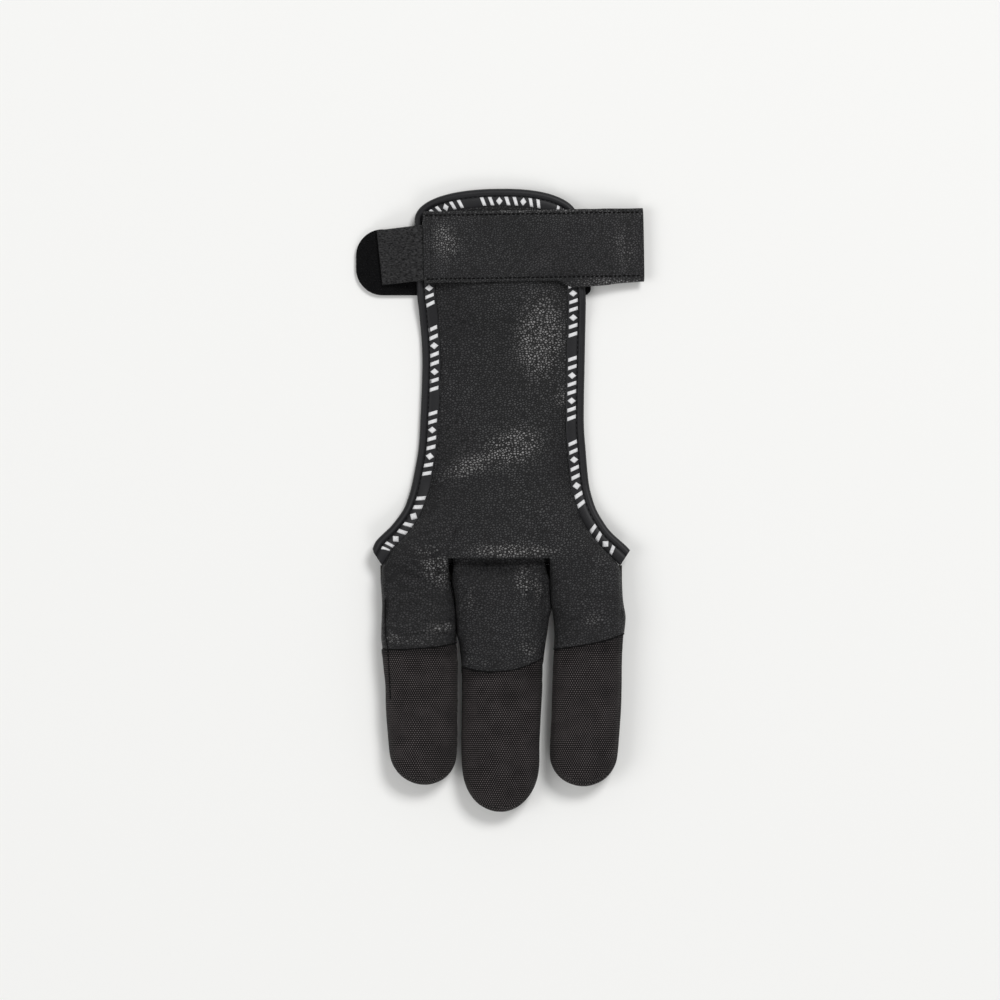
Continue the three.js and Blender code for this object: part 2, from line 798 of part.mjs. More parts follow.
// The strap steps down off the elastic's end, then eases down past the neck's right side.
function strapLowAt(x) {
  const onElastic = 1 - ease(x, elasticEnd + seamGap, elasticEnd + strapStep);
  const overElastic = (elasticThick + seamGap) * onElastic;
  return strapLow + overElastic - freeDrop * ease(x, neckRight, strapTo);
}

function elasticLowAt(x) {
  const overTab = hookThick + seamGap;
  return lerp(overTab, strapLow, ease(x, neckLeft - elasticOut, neckLeft - elasticTop));
}

function addStraps() {
  addStrap('wrist_strap', strapFrom, strapTo, strapUp, strapWidth, strapThick, strapLowAt,
    strapTurn, strapRows, gloveLeather);
  const backingLow = (x) => strapLowAt(x) - backingThick - seamGap;
  addStrap('strap_backing', strapTo - backingLength, strapTo - seamGap * 2, strapUp,
    strapWidth - seamGap * 4, backingThick, backingLow, strapTurn, backingRows, loopFabric);
  addStrap('elastic_band', neckLeft - elasticOut, elasticEnd, elasticUp, elasticWidth,
    elasticThick, elasticLowAt, elasticTurn, elasticRows, ribbedElastic);
}

const cornerSteps = 10;

// Flat hook strip with a round-cornered tab.
function addHookStrip() {
  const left = neckLeft - hookTab;
  const right = neckRight + hookFar;
  const [low, high] = [hookUp - hookWidth / 2, hookUp + hookWidth / 2];
  const shape = new THREE.Shape();
  shape.absarc(right - hookCorner, low + hookCorner, hookCorner, -Math.PI / 2, 0, false);
  shape.absarc(right - hookCorner, high - hookCorner, hookCorner, 0, Math.PI / 2, false);
  shape.lineTo(left + hookRound, high);
  shape.absarc(left + hookRound, high - hookRound, hookRound, Math.PI / 2, Math.PI, false);
  shape.absarc(left + hookRound, low + hookRound, hookRound, Math.PI, Math.PI * 1.5, false);
  shape.closePath();
  const geometry = new THREE.ExtrudeGeometry(shape, {
    depth: hookThick, bevelEnabled: false, curveSegments: cornerSteps,
  });
  const mesh = new THREE.Mesh(geometry, hookFabric);
  mesh.name = 'hook_strip';
  glove.add(mesh);
}

addBackPanel();
addMiddleBack();
addPalmPanel();
[index, middle, ring].forEach(addFingertip);
addEdgeBinding();
addPalmBinding();
addStraps();
addHookStrip();

// The origin goes to the middle of the footprint, on the table.
const bounds = new THREE.Box3().setFromObject(glove);
const middlePoint = bounds.getCenter(new THREE.Vector3());
glove.position.set(-middlePoint.x, -middlePoint.y, -bounds.min.z);

export default glove;
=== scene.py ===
import bpy, bmesh, math, random
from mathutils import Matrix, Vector, noise
from mathutils.bvhtree import BVHTree


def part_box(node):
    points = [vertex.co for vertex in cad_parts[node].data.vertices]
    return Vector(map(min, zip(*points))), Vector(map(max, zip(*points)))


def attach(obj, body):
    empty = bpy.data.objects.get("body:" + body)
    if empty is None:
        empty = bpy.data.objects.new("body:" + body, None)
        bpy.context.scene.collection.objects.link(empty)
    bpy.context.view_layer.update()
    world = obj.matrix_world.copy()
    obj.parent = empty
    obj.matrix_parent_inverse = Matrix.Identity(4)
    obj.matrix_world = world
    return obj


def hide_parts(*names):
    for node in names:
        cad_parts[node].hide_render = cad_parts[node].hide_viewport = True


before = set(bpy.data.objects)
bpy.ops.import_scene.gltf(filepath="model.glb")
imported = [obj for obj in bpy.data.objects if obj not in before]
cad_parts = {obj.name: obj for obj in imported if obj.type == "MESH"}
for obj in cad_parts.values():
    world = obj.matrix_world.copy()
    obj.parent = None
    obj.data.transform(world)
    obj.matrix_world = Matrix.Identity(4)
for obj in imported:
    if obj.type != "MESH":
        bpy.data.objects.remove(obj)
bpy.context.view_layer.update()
mm = 0.001
print("stage: frame loaded,", len(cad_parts), "nodes")

# Where the photograph's pixels lie on the table, with the picture 1000 by 1000
photo = {"scale": 0.34 * mm, "middleX": 500.3, "middleY": 500.2}

# The glove's own sizes, in millimetres, as the frame has them
glove = {
    "knuckleY": -19.65, "centreX": 0.396, "stallHeight": 12.4, "leather": 1.2, "gap": 0.3,
    "neckWidth": 55.4, "neckLength": 125.5, "neckOffset": 0.7, "capHeight": 11.2, "capRound": 2.3,
    "leftReach": 16.93, "rightReach": 15.3, "flareShare": 0.22,
    "hookThick": 1.4, "hookWidth": 22.4, "hookUp": 100.5, "hookRise": 14,
}


def fromPhoto(x, y):
    return Vector(((x - photo["middleX"]) * photo["scale"], (photo["middleY"] - y) * photo["scale"], 0))


def photoX(point):
    return point.x / photo["scale"] + photo["middleX"]


def photoY(point):
    return photo["middleY"] - point.y / photo["scale"]


# How far a value has come on its way from low to high, with soft ends
def ease(value, low, high):
    share = min(1, max(0, (value - low) / (high - low)))
    return share * share * (3 - 2 * share)


def mix(low, high, share):
    return low + (high - low) * share


# The second value of a table's rows, at a place between their first values
def lookUp(table, place):
    if place <= table[0][0]:
        return table[0][1]
    for low, high in zip(table, table[1:]):
        if place <= high[0]:
            return mix(low[1], high[1], (place - low[0]) / (high[0] - low[0]))
    return table[-1][1]


# A sine or cosine pushed out towards a square, so that a circle becomes a rounded corner
def rounded(wave, exponent):
    return math.copysign(abs(wave) ** (2 / exponent), wave)


# Shader building

sheenRoughness = 0.5


def newMaterial(name, roughness, specular, sheen=0.0):
    material = bpy.data.materials.new(name)
    material.use_nodes = True
    shader = material.node_tree.nodes["Principled BSDF"]
    shader.inputs["Roughness"].default_value = roughness
    shader.inputs["Specular IOR Level"].default_value = specular
    shader.inputs["Sheen Weight"].default_value = sheen
    shader.inputs["Sheen Roughness"].default_value = sheenRoughness
    return material, material.node_tree, shader


def addNode(tree, kind, values=None, links=None, **settings):
    node = tree.nodes.new("ShaderNode" + kind)
    for key, value in settings.items():
        setattr(node, key, value)
    for key, value in (values or {}).items():
        node.inputs[key].default_value = value
    for key, socket in (links or {}).items():
        tree.links.new(socket, node.inputs[key])
    return node


def maths(tree, operation, first, second=None, clamp=False):
    node = tree.nodes.new("ShaderNodeMath")
    node.operation = operation
    node.use_clamp = clamp
    for socket, value in zip(node.inputs, (first, second)):
        if value is None:
            continue
        if isinstance(value, (int, float)):
            socket.default_value = value
        else:
            tree.links.new(value, socket)
    return node.outputs[0]


def times(tree, first, second, clamp=False):
    return maths(tree, "MULTIPLY", first, second, clamp)


def plus(tree, first, second):
    return maths(tree, "ADD", first, second)


def attribute(tree, name):
    return addNode(tree, "Attribute", attribute_name=name).outputs["Fac"]


def ramp(tree, factor, places, *colours):
    node = addNode(tree, "ValToRGB", None, {0: factor})
    for element, place, colour in zip(node.color_ramp.elements, places, colours):
        element.position = place
        element.color = (*colour, 1)
    return node.outputs["Color"]


def mixColour(tree, factor, first, second):
    node = addNode(tree, "Mix", None, {0: factor, 6: first}, data_type="RGBA")
    node.inputs[7].default_value = (*second, 1)
    return node.outputs[2]


def noiseNode(tree, vector, scale, detail, **more):
    return addNode(tree, "TexNoise", {"Scale": scale, "Detail": detail, **more}, {"Vector": vector})


# A value taken from one range to another with soft ends
def softRange(tree, value, low, high):
    return addNode(tree, "MapRange", {"From Min": low, "From Max": high}, {"Value": value},
                   interpolation_type="SMOOTHSTEP").outputs[0]


# A node group: its inputs' defaults by name, of which None is a vector, and its outputs' names
def newGroup(name, inputs, outputs):
    group = bpy.data.node_groups.new(name, "ShaderNodeTree")
    for label, value in inputs.items():
        kind = "NodeSocketVector" if value is None else "NodeSocketFloat"
        socket = group.interface.new_socket(label, in_out="INPUT", socket_type=kind)
        if value is not None:
            socket.default_value = value
    for label in outputs:
        group.interface.new_socket(label, in_out="OUTPUT", socket_type="NodeSocketFloat")
    return group, group.nodes.new("NodeGroupInput"), group.nodes.new("NodeGroupOutput")


grainLook = {
    "warp": 420.0, "warpReach": (0.0009, 0.0009, 0.0009), "flatten": (0.86, 1.12, 1.0), "scatter": 0.85,
    "crown": (0.62, 0.08), "pebbleEdge": 0.26, "poreScale": 3800.0, "poreDepth": 0.25,
    "patchScale": 75.0, "patchGain": 1.3, "patchOffset": -0.05,
    "creaseScale": 620.0, "creaseStretch": (0.22, 1.0, 1.0), "creaseDepth": 3.2, "troughs": (0.51, 0.41),
    "fleckScale": 900.0, "fleck": {"From Min": 0.38, "From Max": 0.62, "To Min": 0.55, "To Max": 1.5},
}


# Pebbled grain with fine pores and long creases, in metres. Crowns are the pebbles' tops, where painted
# highlights go, and Patches and Fleck are broad and fine changes of tone; Fleck only varies the painted
# highlights.
# Valleys, between the pebbles and in the creases, take painted shade.
def makeGrainGroup(look):
    group, given, out = newGroup("leatherGrain", {"Vector": None, "Pebble": 1000.0, "Crease": 0.0},
                                 ["Height", "Valleys", "Patches", "Fleck", "Crowns"])
    vector, creased = given.outputs["Vector"], given.outputs["Crease"]
    warp = noiseNode(group, vector, look["warp"], 2.0).outputs["Color"]
    shift = addNode(group, "VectorMath", {1: look["warpReach"]}, {0: warp}, operation="MULTIPLY")
    moved = addNode(group, "VectorMath", None, {0: vector, 1: shift.outputs[0]}, operation="ADD")
    bent = addNode(group, "Mapping", {"Scale": look["flatten"]}, {"Vector": moved.outputs[0]})
    cells, spots = [
        addNode(group, "TexVoronoi", {"Randomness": look["scatter"]},
                {"Vector": bent.outputs[0], "Scale": given.outputs["Pebble"]}, feature=feature)
        for feature in ("DISTANCE_TO_EDGE", "F1")]
    crowns = softRange(group, spots.outputs["Distance"], *look["crown"])
    pebble = softRange(group, cells.outputs["Distance"], 0.0, look["pebbleEdge"])
    pores = noiseNode(group, vector, look["poreScale"], 3.0, Roughness=0.6).outputs["Fac"]
    patches = noiseNode(group, vector, look["patchScale"], 3.0, Roughness=0.55).outputs["Fac"]
    soften = addNode(group, "Math", {1: look["patchGain"], 2: look["patchOffset"]}, {0: patches},
                     operation="MULTIPLY_ADD")
    deep = times(group, pebble, soften.outputs[0])
    stretch = addNode(group, "Mapping", {"Scale": look["creaseStretch"]}, {"Vector": bent.outputs[0]})
    lines = noiseNode(group, stretch.outputs[0], look["creaseScale"], 3.0, Distortion=0.7).outputs["Fac"]
    folds = times(group, lines, creased)
    troughs = softRange(group, lines, *look["troughs"])
    wrinkles = times(group, troughs, creased, clamp=True)
    height = plus(group, deep, times(group, pores, look["poreDepth"]))
    height = plus(group, height, times(group, folds, look["creaseDepth"]))
    valleys = maths(group, "MAXIMUM", maths(group, "SUBTRACT", 1.0, pebble), wrinkles)
    fleck = noiseNode(group, vector, look["fleckScale"], 2.0).outputs["Fac"]
    spread = addNode(group, "MapRange", look["fleck"], {"Value": fleck}).outputs[0]
    for label, socket in (("Height", height), ("Valleys", valleys), ("Patches", patches),
                          ("Fleck", spread), ("Crowns", crowns)):
        group.links.new(socket, out.inputs[label])
    return group


yarnLook = {"long": 0.6, "short": 1.2, "weft": 0.3, "fuzzScale": 2600.0, "fuzz": 0.3}


# Plain weave read from a UV map in metres: yarns over and under in both directions
def makeWeaveGroup(look):
    group, given, out = newGroup("plainWeave", {"Vector": None, "Pitch": 0.0007}, ["Height", "Yarns"])
    split = addNode(group, "SeparateXYZ", None, {0: given.outputs["Vector"]})
    turn = maths(group, "DIVIDE", math.pi, given.outputs["Pitch"])
    waves = [maths(group, "SINE", times(group, split.outputs[axis], turn)) for axis in "XY"]
    upper = maths(group, "GREATER_THAN", times(group, *waves), 0.0)
    across, along = [maths(group, "ABSOLUTE", wave) for wave in waves]
    warpYarn, weftYarn = [
        times(group, maths(group, "POWER", run, look["long"]), maths(group, "POWER", side, look["short"]))
        for run, side in ((across, along), (along, across))]
    first = times(group, warpYarn, upper)
    second = times(group, weftYarn, maths(group, "SUBTRACT", 1.0, upper))
    yarns = plus(group, first, times(group, second, look["weft"]))
    fuzz = noiseNode(group, given.outputs["Vector"], look["fuzzScale"], 3.0).outputs["Fac"]
    height = plus(group, yarns, times(group, fuzz, look["fuzz"]))
    group.links.new(height, out.inputs["Height"])
    group.links.new(yarns, out.inputs["Yarns"])
    return group


leatherGrain = makeGrainGroup(grainLook)
plainWeave = makeWeaveGroup(yarnLook)


def bumpInto(tree, shader, height, depth):
    bump = addNode(tree, "Bump", {"Strength": 1.0, "Distance": depth}, {"Height": height})
    tree.links.new(bump.outputs["Normal"], shader.inputs["Normal"])


leatherLook = {
    "roughness": 0.55, "specular": 0.2, "pebble": 1180.0, "depth": 0.0003, "wornLift": 1.1,
    # tones of the plain leather, of the painted sheen at the worn and bright places and of the painted
    # highlights on their pebbles, and of the painted shade in the valleys
    "dark": (0.022, 0.022, 0.0231), "plain": (0.048, 0.048, 0.0497), "paintedSheen": (0.066, 0.0652, 0.0658),
    "paintedHighlight": (0.245, 0.241, 0.241), "valleyShade": (0.0012, 0.0012, 0.0014), "patches": (0.32, 0.68),
    "highlightGain": 0.9, "evenHighlight": 0.014, "flatTops": 0.45, "valleyShadeShare": 0.85,
    "gloss": {"To Min": 0.42, "To Max": 0.30}, "valleyRoughness": 0.18,
}


def makeLeather(name, look):
    material, tree, shader = newMaterial(name, look["roughness"], look["specular"])
    place = addNode(tree, "TexCoord")
    wearAndSheen = attribute(tree, "wearAndSheen")
    links = {"Vector": place.outputs["Object"], "Crease": attribute(tree, "crease")}
    grain = addNode(tree, "Group", {"Pebble": look["pebble"]}, links, node_tree=leatherGrain)
    valleys = grain.outputs["Valleys"]
    tone = ramp(tree, grain.outputs["Patches"], look["patches"], look["dark"], look["plain"])
    # Painted light: a paler painted sheen where the wear-and-sheen attribute is high, and bright painted
    # highlights on the pebbles' tops there and faintly everywhere
    shown = plus(tree, times(tree, wearAndSheen, look["highlightGain"]), look["evenHighlight"])
    crowned = plus(tree, look["flatTops"], grain.outputs["Crowns"])
    tops = times(tree, crowned, maths(tree, "SUBTRACT", 1.0, valleys))
    highlightAmount = times(tree, shown, tops)
    highlightAmount = times(tree, highlightAmount, grain.outputs["Fleck"], clamp=True)
    paintedSheen = mixColour(tree, wearAndSheen, tone, look["paintedSheen"])
    paintedHighlight = mixColour(tree, highlightAmount, paintedSheen, look["paintedHighlight"])
    # painted shade: the valleys between pebbles and the creases' troughs darkened towards a near black
    valleyShadeAmount = times(tree, valleys, look["valleyShadeShare"])
    tree.links.new(mixColour(tree, valleyShadeAmount, paintedHighlight, look["valleyShade"]), shader.inputs["Base Color"])
    gloss = addNode(tree, "MapRange", look["gloss"], {"Value": wearAndSheen})
    duller = times(tree, valleys, look["valleyRoughness"])
    tree.links.new(plus(tree, gloss.outputs[0], duller), shader.inputs["Roughness"])
    lift = plus(tree, 1.0, times(tree, wearAndSheen, look["wornLift"]))
    bumpInto(tree, shader, times(tree, grain.outputs["Height"], lift), look["depth"])
    return material


weaveLook = {
    "roughness": 0.7, "specular": 0.12, "sheen": 0.02,
    "low": (0.0007, 0.0006, 0.0006), "high": (0.135, 0.118, 0.118), "levels": (0.18, 0.90),
    "pitch": 0.0007, "depth": 0.00024, "stretch": (1.73, 1, 1), "drift": 90.0, "pull": (0.0011, 0.0011, 0),
    "hemShare": 0.3, "patchScale": 160.0, "patchOffset": 0.5,
}


# Woven cloth that follows the piece's UV map called weave, with painted highlights on the yarns' crowns and
# painted shade between the yarns, quieter where its wear-and-sheen attribute is high
def makeWeave(name, look):
    material, tree, shader = newMaterial(name, look["roughness"], look["specular"], look["sheen"])
    along = addNode(tree, "UVMap", uv_map="weave")
    place = addNode(tree, "TexCoord")
    drift = noiseNode(tree, place.outputs["Object"], look["drift"], 1.0).outputs["Color"]
    pull = addNode(tree, "VectorMath", {1: look["pull"]}, {0: drift}, operation="MULTIPLY")
    pulled = addNode(tree, "VectorMath", None, {0: along.outputs[0], 1: pull.outputs[0]},
                     operation="ADD")
    stretched = addNode(tree, "Mapping", {"Scale": look["stretch"]}, {"Vector": pulled.outputs[0]})
    weave = addNode(tree, "Group", {"Pitch": look["pitch"]}, {"Vector": stretched.outputs[0]},
                    node_tree=plainWeave)
    quiet = maths(tree, "SUBTRACT", 1.0, times(tree, attribute(tree, "wearAndSheen"), look["hemShare"]))
    patches = noiseNode(tree, place.outputs["Object"], look["patchScale"], 4.0).outputs["Fac"]
    uneven = plus(tree, patches, look["patchOffset"])
    level = times(tree, times(tree, weave.outputs["Yarns"], quiet), uneven, clamp=True)
    # painted highlights on the yarns and painted shade between them, from a near black to a light grey
    tree.links.new(ramp(tree, level, look["levels"], look["low"], look["high"]), shader.inputs["Base Color"])
    bumpInto(tree, shader, times(tree, weave.outputs["Height"], quiet), look["depth"])
    return material


fibreLook = {"levels": (0.35, 0.7), "sheen": 0.04}


# Cloth, tape or thread in two tones, by fine fibres of noise
def makeCloth(name, dark, light, roughness, scale, depth, stretch=(1, 1, 1), turn=0.0, specular=0.35):
    material, tree, shader = newMaterial(name, roughness, specular, fibreLook["sheen"])
    place = addNode(tree, "TexCoord")
    mapped = addNode(tree, "Mapping", {"Scale": stretch, "Rotation": (0, 0, math.radians(turn))},
                     {"Vector": place.outputs["Object"]})
    fibres = noiseNode(tree, mapped.outputs[0], scale, 4.0, Roughness=0.65).outputs["Fac"]
    tree.links.new(ramp(tree, fibres, fibreLook["levels"], dark, light), shader.inputs["Base Color"])
    bumpInto(tree, shader, fibres, depth)
    return material


gloveLeather = makeLeather("gloveLeather", leatherLook)
finerLook = dict(leatherLook, pebble=1350.0, depth=0.0002, plain=(0.043, 0.043, 0.0446))
strapLeather = makeLeather("strapLeather", finerLook)
wovenNylon = makeWeave("wovenNylon", weaveLook)
satinTape = makeCloth("satinTape", (0.006, 0.006, 0.0072), (0.011, 0.011, 0.0128), 0.5, 2400, 0.00004,
                      specular=0.3)
markPrint = makeCloth("markPrint", (0.62, 0.62, 0.63), (0.86, 0.86, 0.87), 0.6, 1800, 0.00003)
stretchKnit = makeCloth("stretchKnit", (0.0022, 0.0022, 0.0024), (0.052, 0.052, 0.053), 0.8, 1900, 0.00025,
                        (0.6, 1, 1), 40, specular=0.15)
suedeBack = makeCloth("suedeBack", (0.020, 0.019, 0.018), (0.040, 0.037, 0.034), 0.95, 1500, 0.00018,
                      specular=0.15)
blackThread = makeCloth("blackThread", (0.0012, 0.0012, 0.0012), (0.006, 0.006, 0.006), 0.85, 4200, 0.00005,
                        specular=0.08)
hookPlastic = makeCloth("hookPlastic", (0.0012, 0.0012, 0.0014), (0.005, 0.005, 0.0055), 0.75, 1500, 0.0002,
                        specular=0.08)
loopPile = makeCloth("loopPile", (0.006, 0.006, 0.007), (0.016, 0.016, 0.017), 0.95, 2600, 0.0004)
print("stage: materials made")


# Mesh helpers

def linked(name, data):
    thing = bpy.data.objects.new(name, data)
    bpy.context.scene.collection.objects.link(thing)
    return thing


def meshObject(bm, name):
    mesh = bpy.data.meshes.new(name)
    bm.to_mesh(mesh)
    bm.free()
    return linked(name, mesh)


def finishPiece(bm, name, material, nodes, smooth=True):
    piece = meshObject(bm, name)
    piece.data.materials.append(material)
    for face in piece.data.polygons:
        face.use_smooth = smooth
    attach(piece, "root")
    if nodes:
        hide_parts(*nodes)
    return piece


# The rough side of the leather on faces that look up, with side 1, or down, with side -1
def lined(piece, side, least):
    piece.data.materials.append(suedeBack)
    for face in piece.data.polygons:
        if face.normal.z * side > least:
            face.material_index = 1
    return piece


def nodeMesh(node):
    bm = bmesh.new()
    bm.from_mesh(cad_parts[node].data)
    return bm


copyLook = {"merge": 0.01, "flat": 40, "any": 180, "hard": 50}  # mm, then angles between faces


def mergedNode(node):
    bm = nodeMesh(node)
    bmesh.ops.remove_doubles(bm, verts=bm.verts, dist=copyLook["merge"] * mm)
    return bm


aboveAll = 0.1


# Height of a mesh's upmost surface at a place on the table
def surfaceOver(bm):
    tree = BVHTree.FromBMesh(bm)
    bm.free()

    def topAt(x, y, missed=0.0):
        hit = tree.ray_cast(Vector((x, y, aboveAll)), Vector((0, 0, -1)))[0]
        return hit.z if hit else missed

    return topAt


# A merged copy of a frame node in quads, with its hard rims held by creases
def softCopy(node, rim=0.75):
    bm = mergedNode(node)
    bmesh.ops.join_triangles(bm, faces=bm.faces, angle_face_threshold=math.radians(copyLook["flat"]),
                             angle_shape_threshold=math.radians(copyLook["any"]))
    layer = bm.edges.layers.float.new("crease_edge")
    for edge in bm.edges:
        if len(edge.link_faces) == 2 and edge.calc_face_angle(0) > math.radians(copyLook["hard"]):
            edge[layer] = rim
    for layerName in list(bm.loops.layers.uv.keys()):
        bm.loops.layers.uv.remove(bm.loops.layers.uv[layerName])
    return bm


# The same mesh with a subdivision surface made real
def subdivided(bm, levels):
    rough = meshObject(bm, "rough")
    surface = rough.modifiers.new("round", "SUBSURF")
    surface.levels = levels
    surface.render_levels = levels
    shown = rough.evaluated_get(bpy.context.evaluated_depsgraph_get())
    smooth = bmesh.new()
    smooth.from_mesh(shown.to_mesh())
    bpy.data.objects.remove(rough)
    return smooth


def floatLayers(bm, *names):
    for name in names:
        bm.verts.layers.float.new(name)
    return [bm.verts.layers.float[name] for name in names]


# A closed sleeve, its corners placed by place(across, along), both from 0 to 1. Across runs
# round, and the two ends are filled.
def placedSleeve(roundCount, alongCount, place):
    bm = bmesh.new()
    bmesh.ops.create_grid(bm, x_segments=roundCount, y_segments=alongCount, size=0.5)
    for vert in bm.verts:
        vert.co = place(vert.co.x + 0.5, vert.co.y + 0.5)
    bmesh.ops.remove_doubles(bm, verts=bm.verts, dist=0.0005 * mm)
    bmesh.ops.holes_fill(bm, edges=[edge for edge in bm.edges if edge.is_boundary])
    bmesh.ops.recalc_face_normals(bm, faces=bm.faces)
    return bm


# Thickness given to an open top sheet by extruding it down
def thickened(bm, drop):
    made = bmesh.ops.extrude_face_region(bm, geom=bm.faces[:])
    bottom = [item for item in made["geom"] if isinstance(item, bmesh.types.BMVert)]
    bmesh.ops.translate(bm, verts=bottom, vec=(0, 0, -drop))
    bmesh.ops.recalc_face_normals(bm, faces=bm.faces)
    return bm


# Soft humps and dents pressed into the leather: place and radii in photo pixels, height in mm
def humpHeight(point, humps):
    total = 0.0
    for x, y, wide, tall, turn, height in humps:
        centre = fromPhoto(x, y)
        offset = Vector((point.x - centre.x, point.y - centre.y)) / photo["scale"]
        angle = math.radians(turn)
        u = (offset.x * math.cos(angle) + offset.y * math.sin(angle)) / wide
        v = (-offset.x * math.sin(angle) + offset.y * math.cos(angle)) / tall
        spread = u * u + v * v
        if spread < 16:  # beyond four radii a hump has run out
            total += height * math.exp(-spread / 2)
    return total * mm


creaseEnds = (-0.15, 0.2, 0.8, 1.15)  # shares of a crease's run where it sets in, is full and fades


# Fine creases: runs from one photo pixel to another, with a width in pixels and a depth in mm
def creaseHeight(point, creases):
    total = 0.0
    here = Vector((point.x, point.y))
    first, full, last, end = creaseEnds
    for x1, y1, x2, y2, wide, depth in creases:
        start = fromPhoto(x1, y1).to_2d()
        run = fromPhoto(x2, y2).to_2d() - start
        along = (here - start).dot(run) / run.length_squared
        if first < along < end:
            away = (here - start - run * along).length / (wide * photo["scale"])
            fade = ease(along, first, full) * (1 - ease(along, last, end))
            total -= depth * math.exp(-away * away) * fade
    return total * mm


wearAndSheenLook = {"shown": (0.06, 0.82), "gain": 1.25, "facing": (0.0, 0.45)}


# How much painted highlight and sheen, with gloss, a vertex's leather gets: only where it faces up, by the
# strongest of the photo's bright spots
def wearAndSheenAt(vert, spots):
    best = max(0.0, *[humpHeight(vert.co, [spot]) / mm for spot in spots])
    paintedHighlight = ease(best, *wearAndSheenLook["shown"]) * min(1.0, best * wearAndSheenLook["gain"])
    return paintedHighlight * ease(vert.normal.z, *wearAndSheenLook["facing"])


# Back of the glove

# Places in the photo's pixels, heights and depths in mm
backLook = {
    "longEdge": 3, "lined": (-1, 0.25),
    # x, y, wide, tall, turn, height
    "humps": [(514, 330, 19, 40, 0, 1.1), (484, 420, 40, 15, 14, 0.9), (500, 552, 50, 7, 0, 0.8),
              (450, 360, 14, 46, 0, -0.5), (470, 500, 60, 14, 6, -0.5), (424, 556, 11, 22, 35, 1.1),
              (408, 588, 16, 9, 5, -0.7), (425, 622, 30, 7, 4, 0.9), (405, 610, 20, 6, -8, -0.6),
              (578, 606, 13, 12, 0, 0.7), (600, 580, 10, 16, 0, -0.4), (560, 420, 10, 30, 0, -0.35)],
    # x, y, x, y, width, depth
    "creases": [
        (392, 566, 444, 592, 3.0, 0.7), (390, 580, 452, 612, 2.8, 0.6), (388, 600, 440, 606, 2.6, 0.5),
        (392, 616, 456, 626, 3.0, 0.7), (400, 634, 455, 634, 2.4, 0.5), (420, 548, 448, 580, 2.8, 0.6),
        (428, 540, 446, 566, 2.4, 0.5), (560, 596, 610, 600, 2.6, 0.35), (562, 622, 612, 616, 2.6, 0.4),
        (585, 606, 602, 628, 2.2, 0.35), (388, 560, 387, 640, 1.8, 0.5), (620, 575, 621, 624, 1.8, 0.5),
        (446, 330, 470, 324, 2.4, 0.3), (447, 352, 476, 350, 2.4, 0.3), (446, 374, 472, 376, 2.4, 0.3),
        (447, 398, 478, 392, 2.4, 0.3), (447, 420, 474, 424, 2.4, 0.3), (447, 446, 470, 440, 2.4, 0.3)],
    # bright spots, given painted highlight and sheen where the leather faces up: x, y, wide, tall, turn,
    # height
    "wearAndSheen": [(540, 336, 17, 31, -4, 1.0), (470, 466, 20, 8, 22, 0.8), (512, 448, 24, 13, 20, 0.95),
             (513, 551, 30, 5, 0, 1.0), (436, 567, 9, 17, 35, 1.0), (440, 628, 14, 5, 8, 0.6),
             (394, 638, 8, 5, 0, 0.6), (592, 618, 9, 7, 0, 0.45), (562, 398, 8, 8, 0, 0.55),
             (416, 640, 22, 3, 0, 0.45), (600, 560, 9, 6, 0, 0.35)],
}
# How creased the leather is: evenly, on the index finger's side, down on the fingers, at spots
# given by x, y, wide, tall and amount, and along the outer edge
zoneLook = {
    "even": 0.16, "left": (425, 470, 0.5), "fingers": (560, 585, 0.2), "edge": (386, 4, 26, 0.4),
    "spots": [(437, 575, 14, 26, 0.4), (532, 585, 10, 22, 0.35)],
}
softLook = [(60, 0.35), (160, 0.12)]  # how fine the leather's own unevenness is, and how high in mm


def creaseAt(point, look):
    x, y = photoX(point), photoY(point)
    (leftFrom, leftTo, leftPart), (downFrom, downTo, downPart) = look["left"], look["fingers"]
    down = ease(y, downFrom, downTo)
    strength = look["even"] + leftPart * (1 - ease(x, leftFrom, leftTo)) * (1 - down) + downPart * down
    for spotX, spotY, wide, tall, part in look["spots"]:
        strength += part * math.exp(-((x - spotX) / wide) ** 2 - ((y - spotY) / tall) ** 2)
    edge, near, far, part = look["edge"]
    return min(1.0, strength + part * (1 - ease(abs(x - edge), near, far)) * down)


def dressLeather(bm, look):
    bm.normal_update()
    wearAndSheen, crease = floatLayers(bm, "wearAndSheen", "crease")
    for vert in bm.verts:
        point = vert.co
        soft = sum(noise.noise(point * fine) * high * mm for fine, high in softLook)
        vert[wearAndSheen] = wearAndSheenAt(vert, look["wearAndSheen"])
        vert[crease] = creaseAt(point, zoneLook)
        point.z += humpHeight(point, look["humps"]) + creaseHeight(point, look["creases"]) + soft


def makeBackPanel():
    bm = softCopy("back_panel")
    bmesh.ops.subdivide_edges(bm, edges=[
        edge for edge in bm.edges
        if abs(edge.verts[0].co.y - edge.verts[1].co.y) > abs(edge.verts[0].co.x - edge.verts[1].co.x)
        and edge.calc_length() > backLook["longEdge"] * mm], cuts=1)
    bm = subdivided(bm, 2)
    dressLeather(bm, backLook)
    piece = finishPiece(bm, "leather_back", gloveLeather, ["back_panel"])
    return lined(piece, *backLook["lined"])


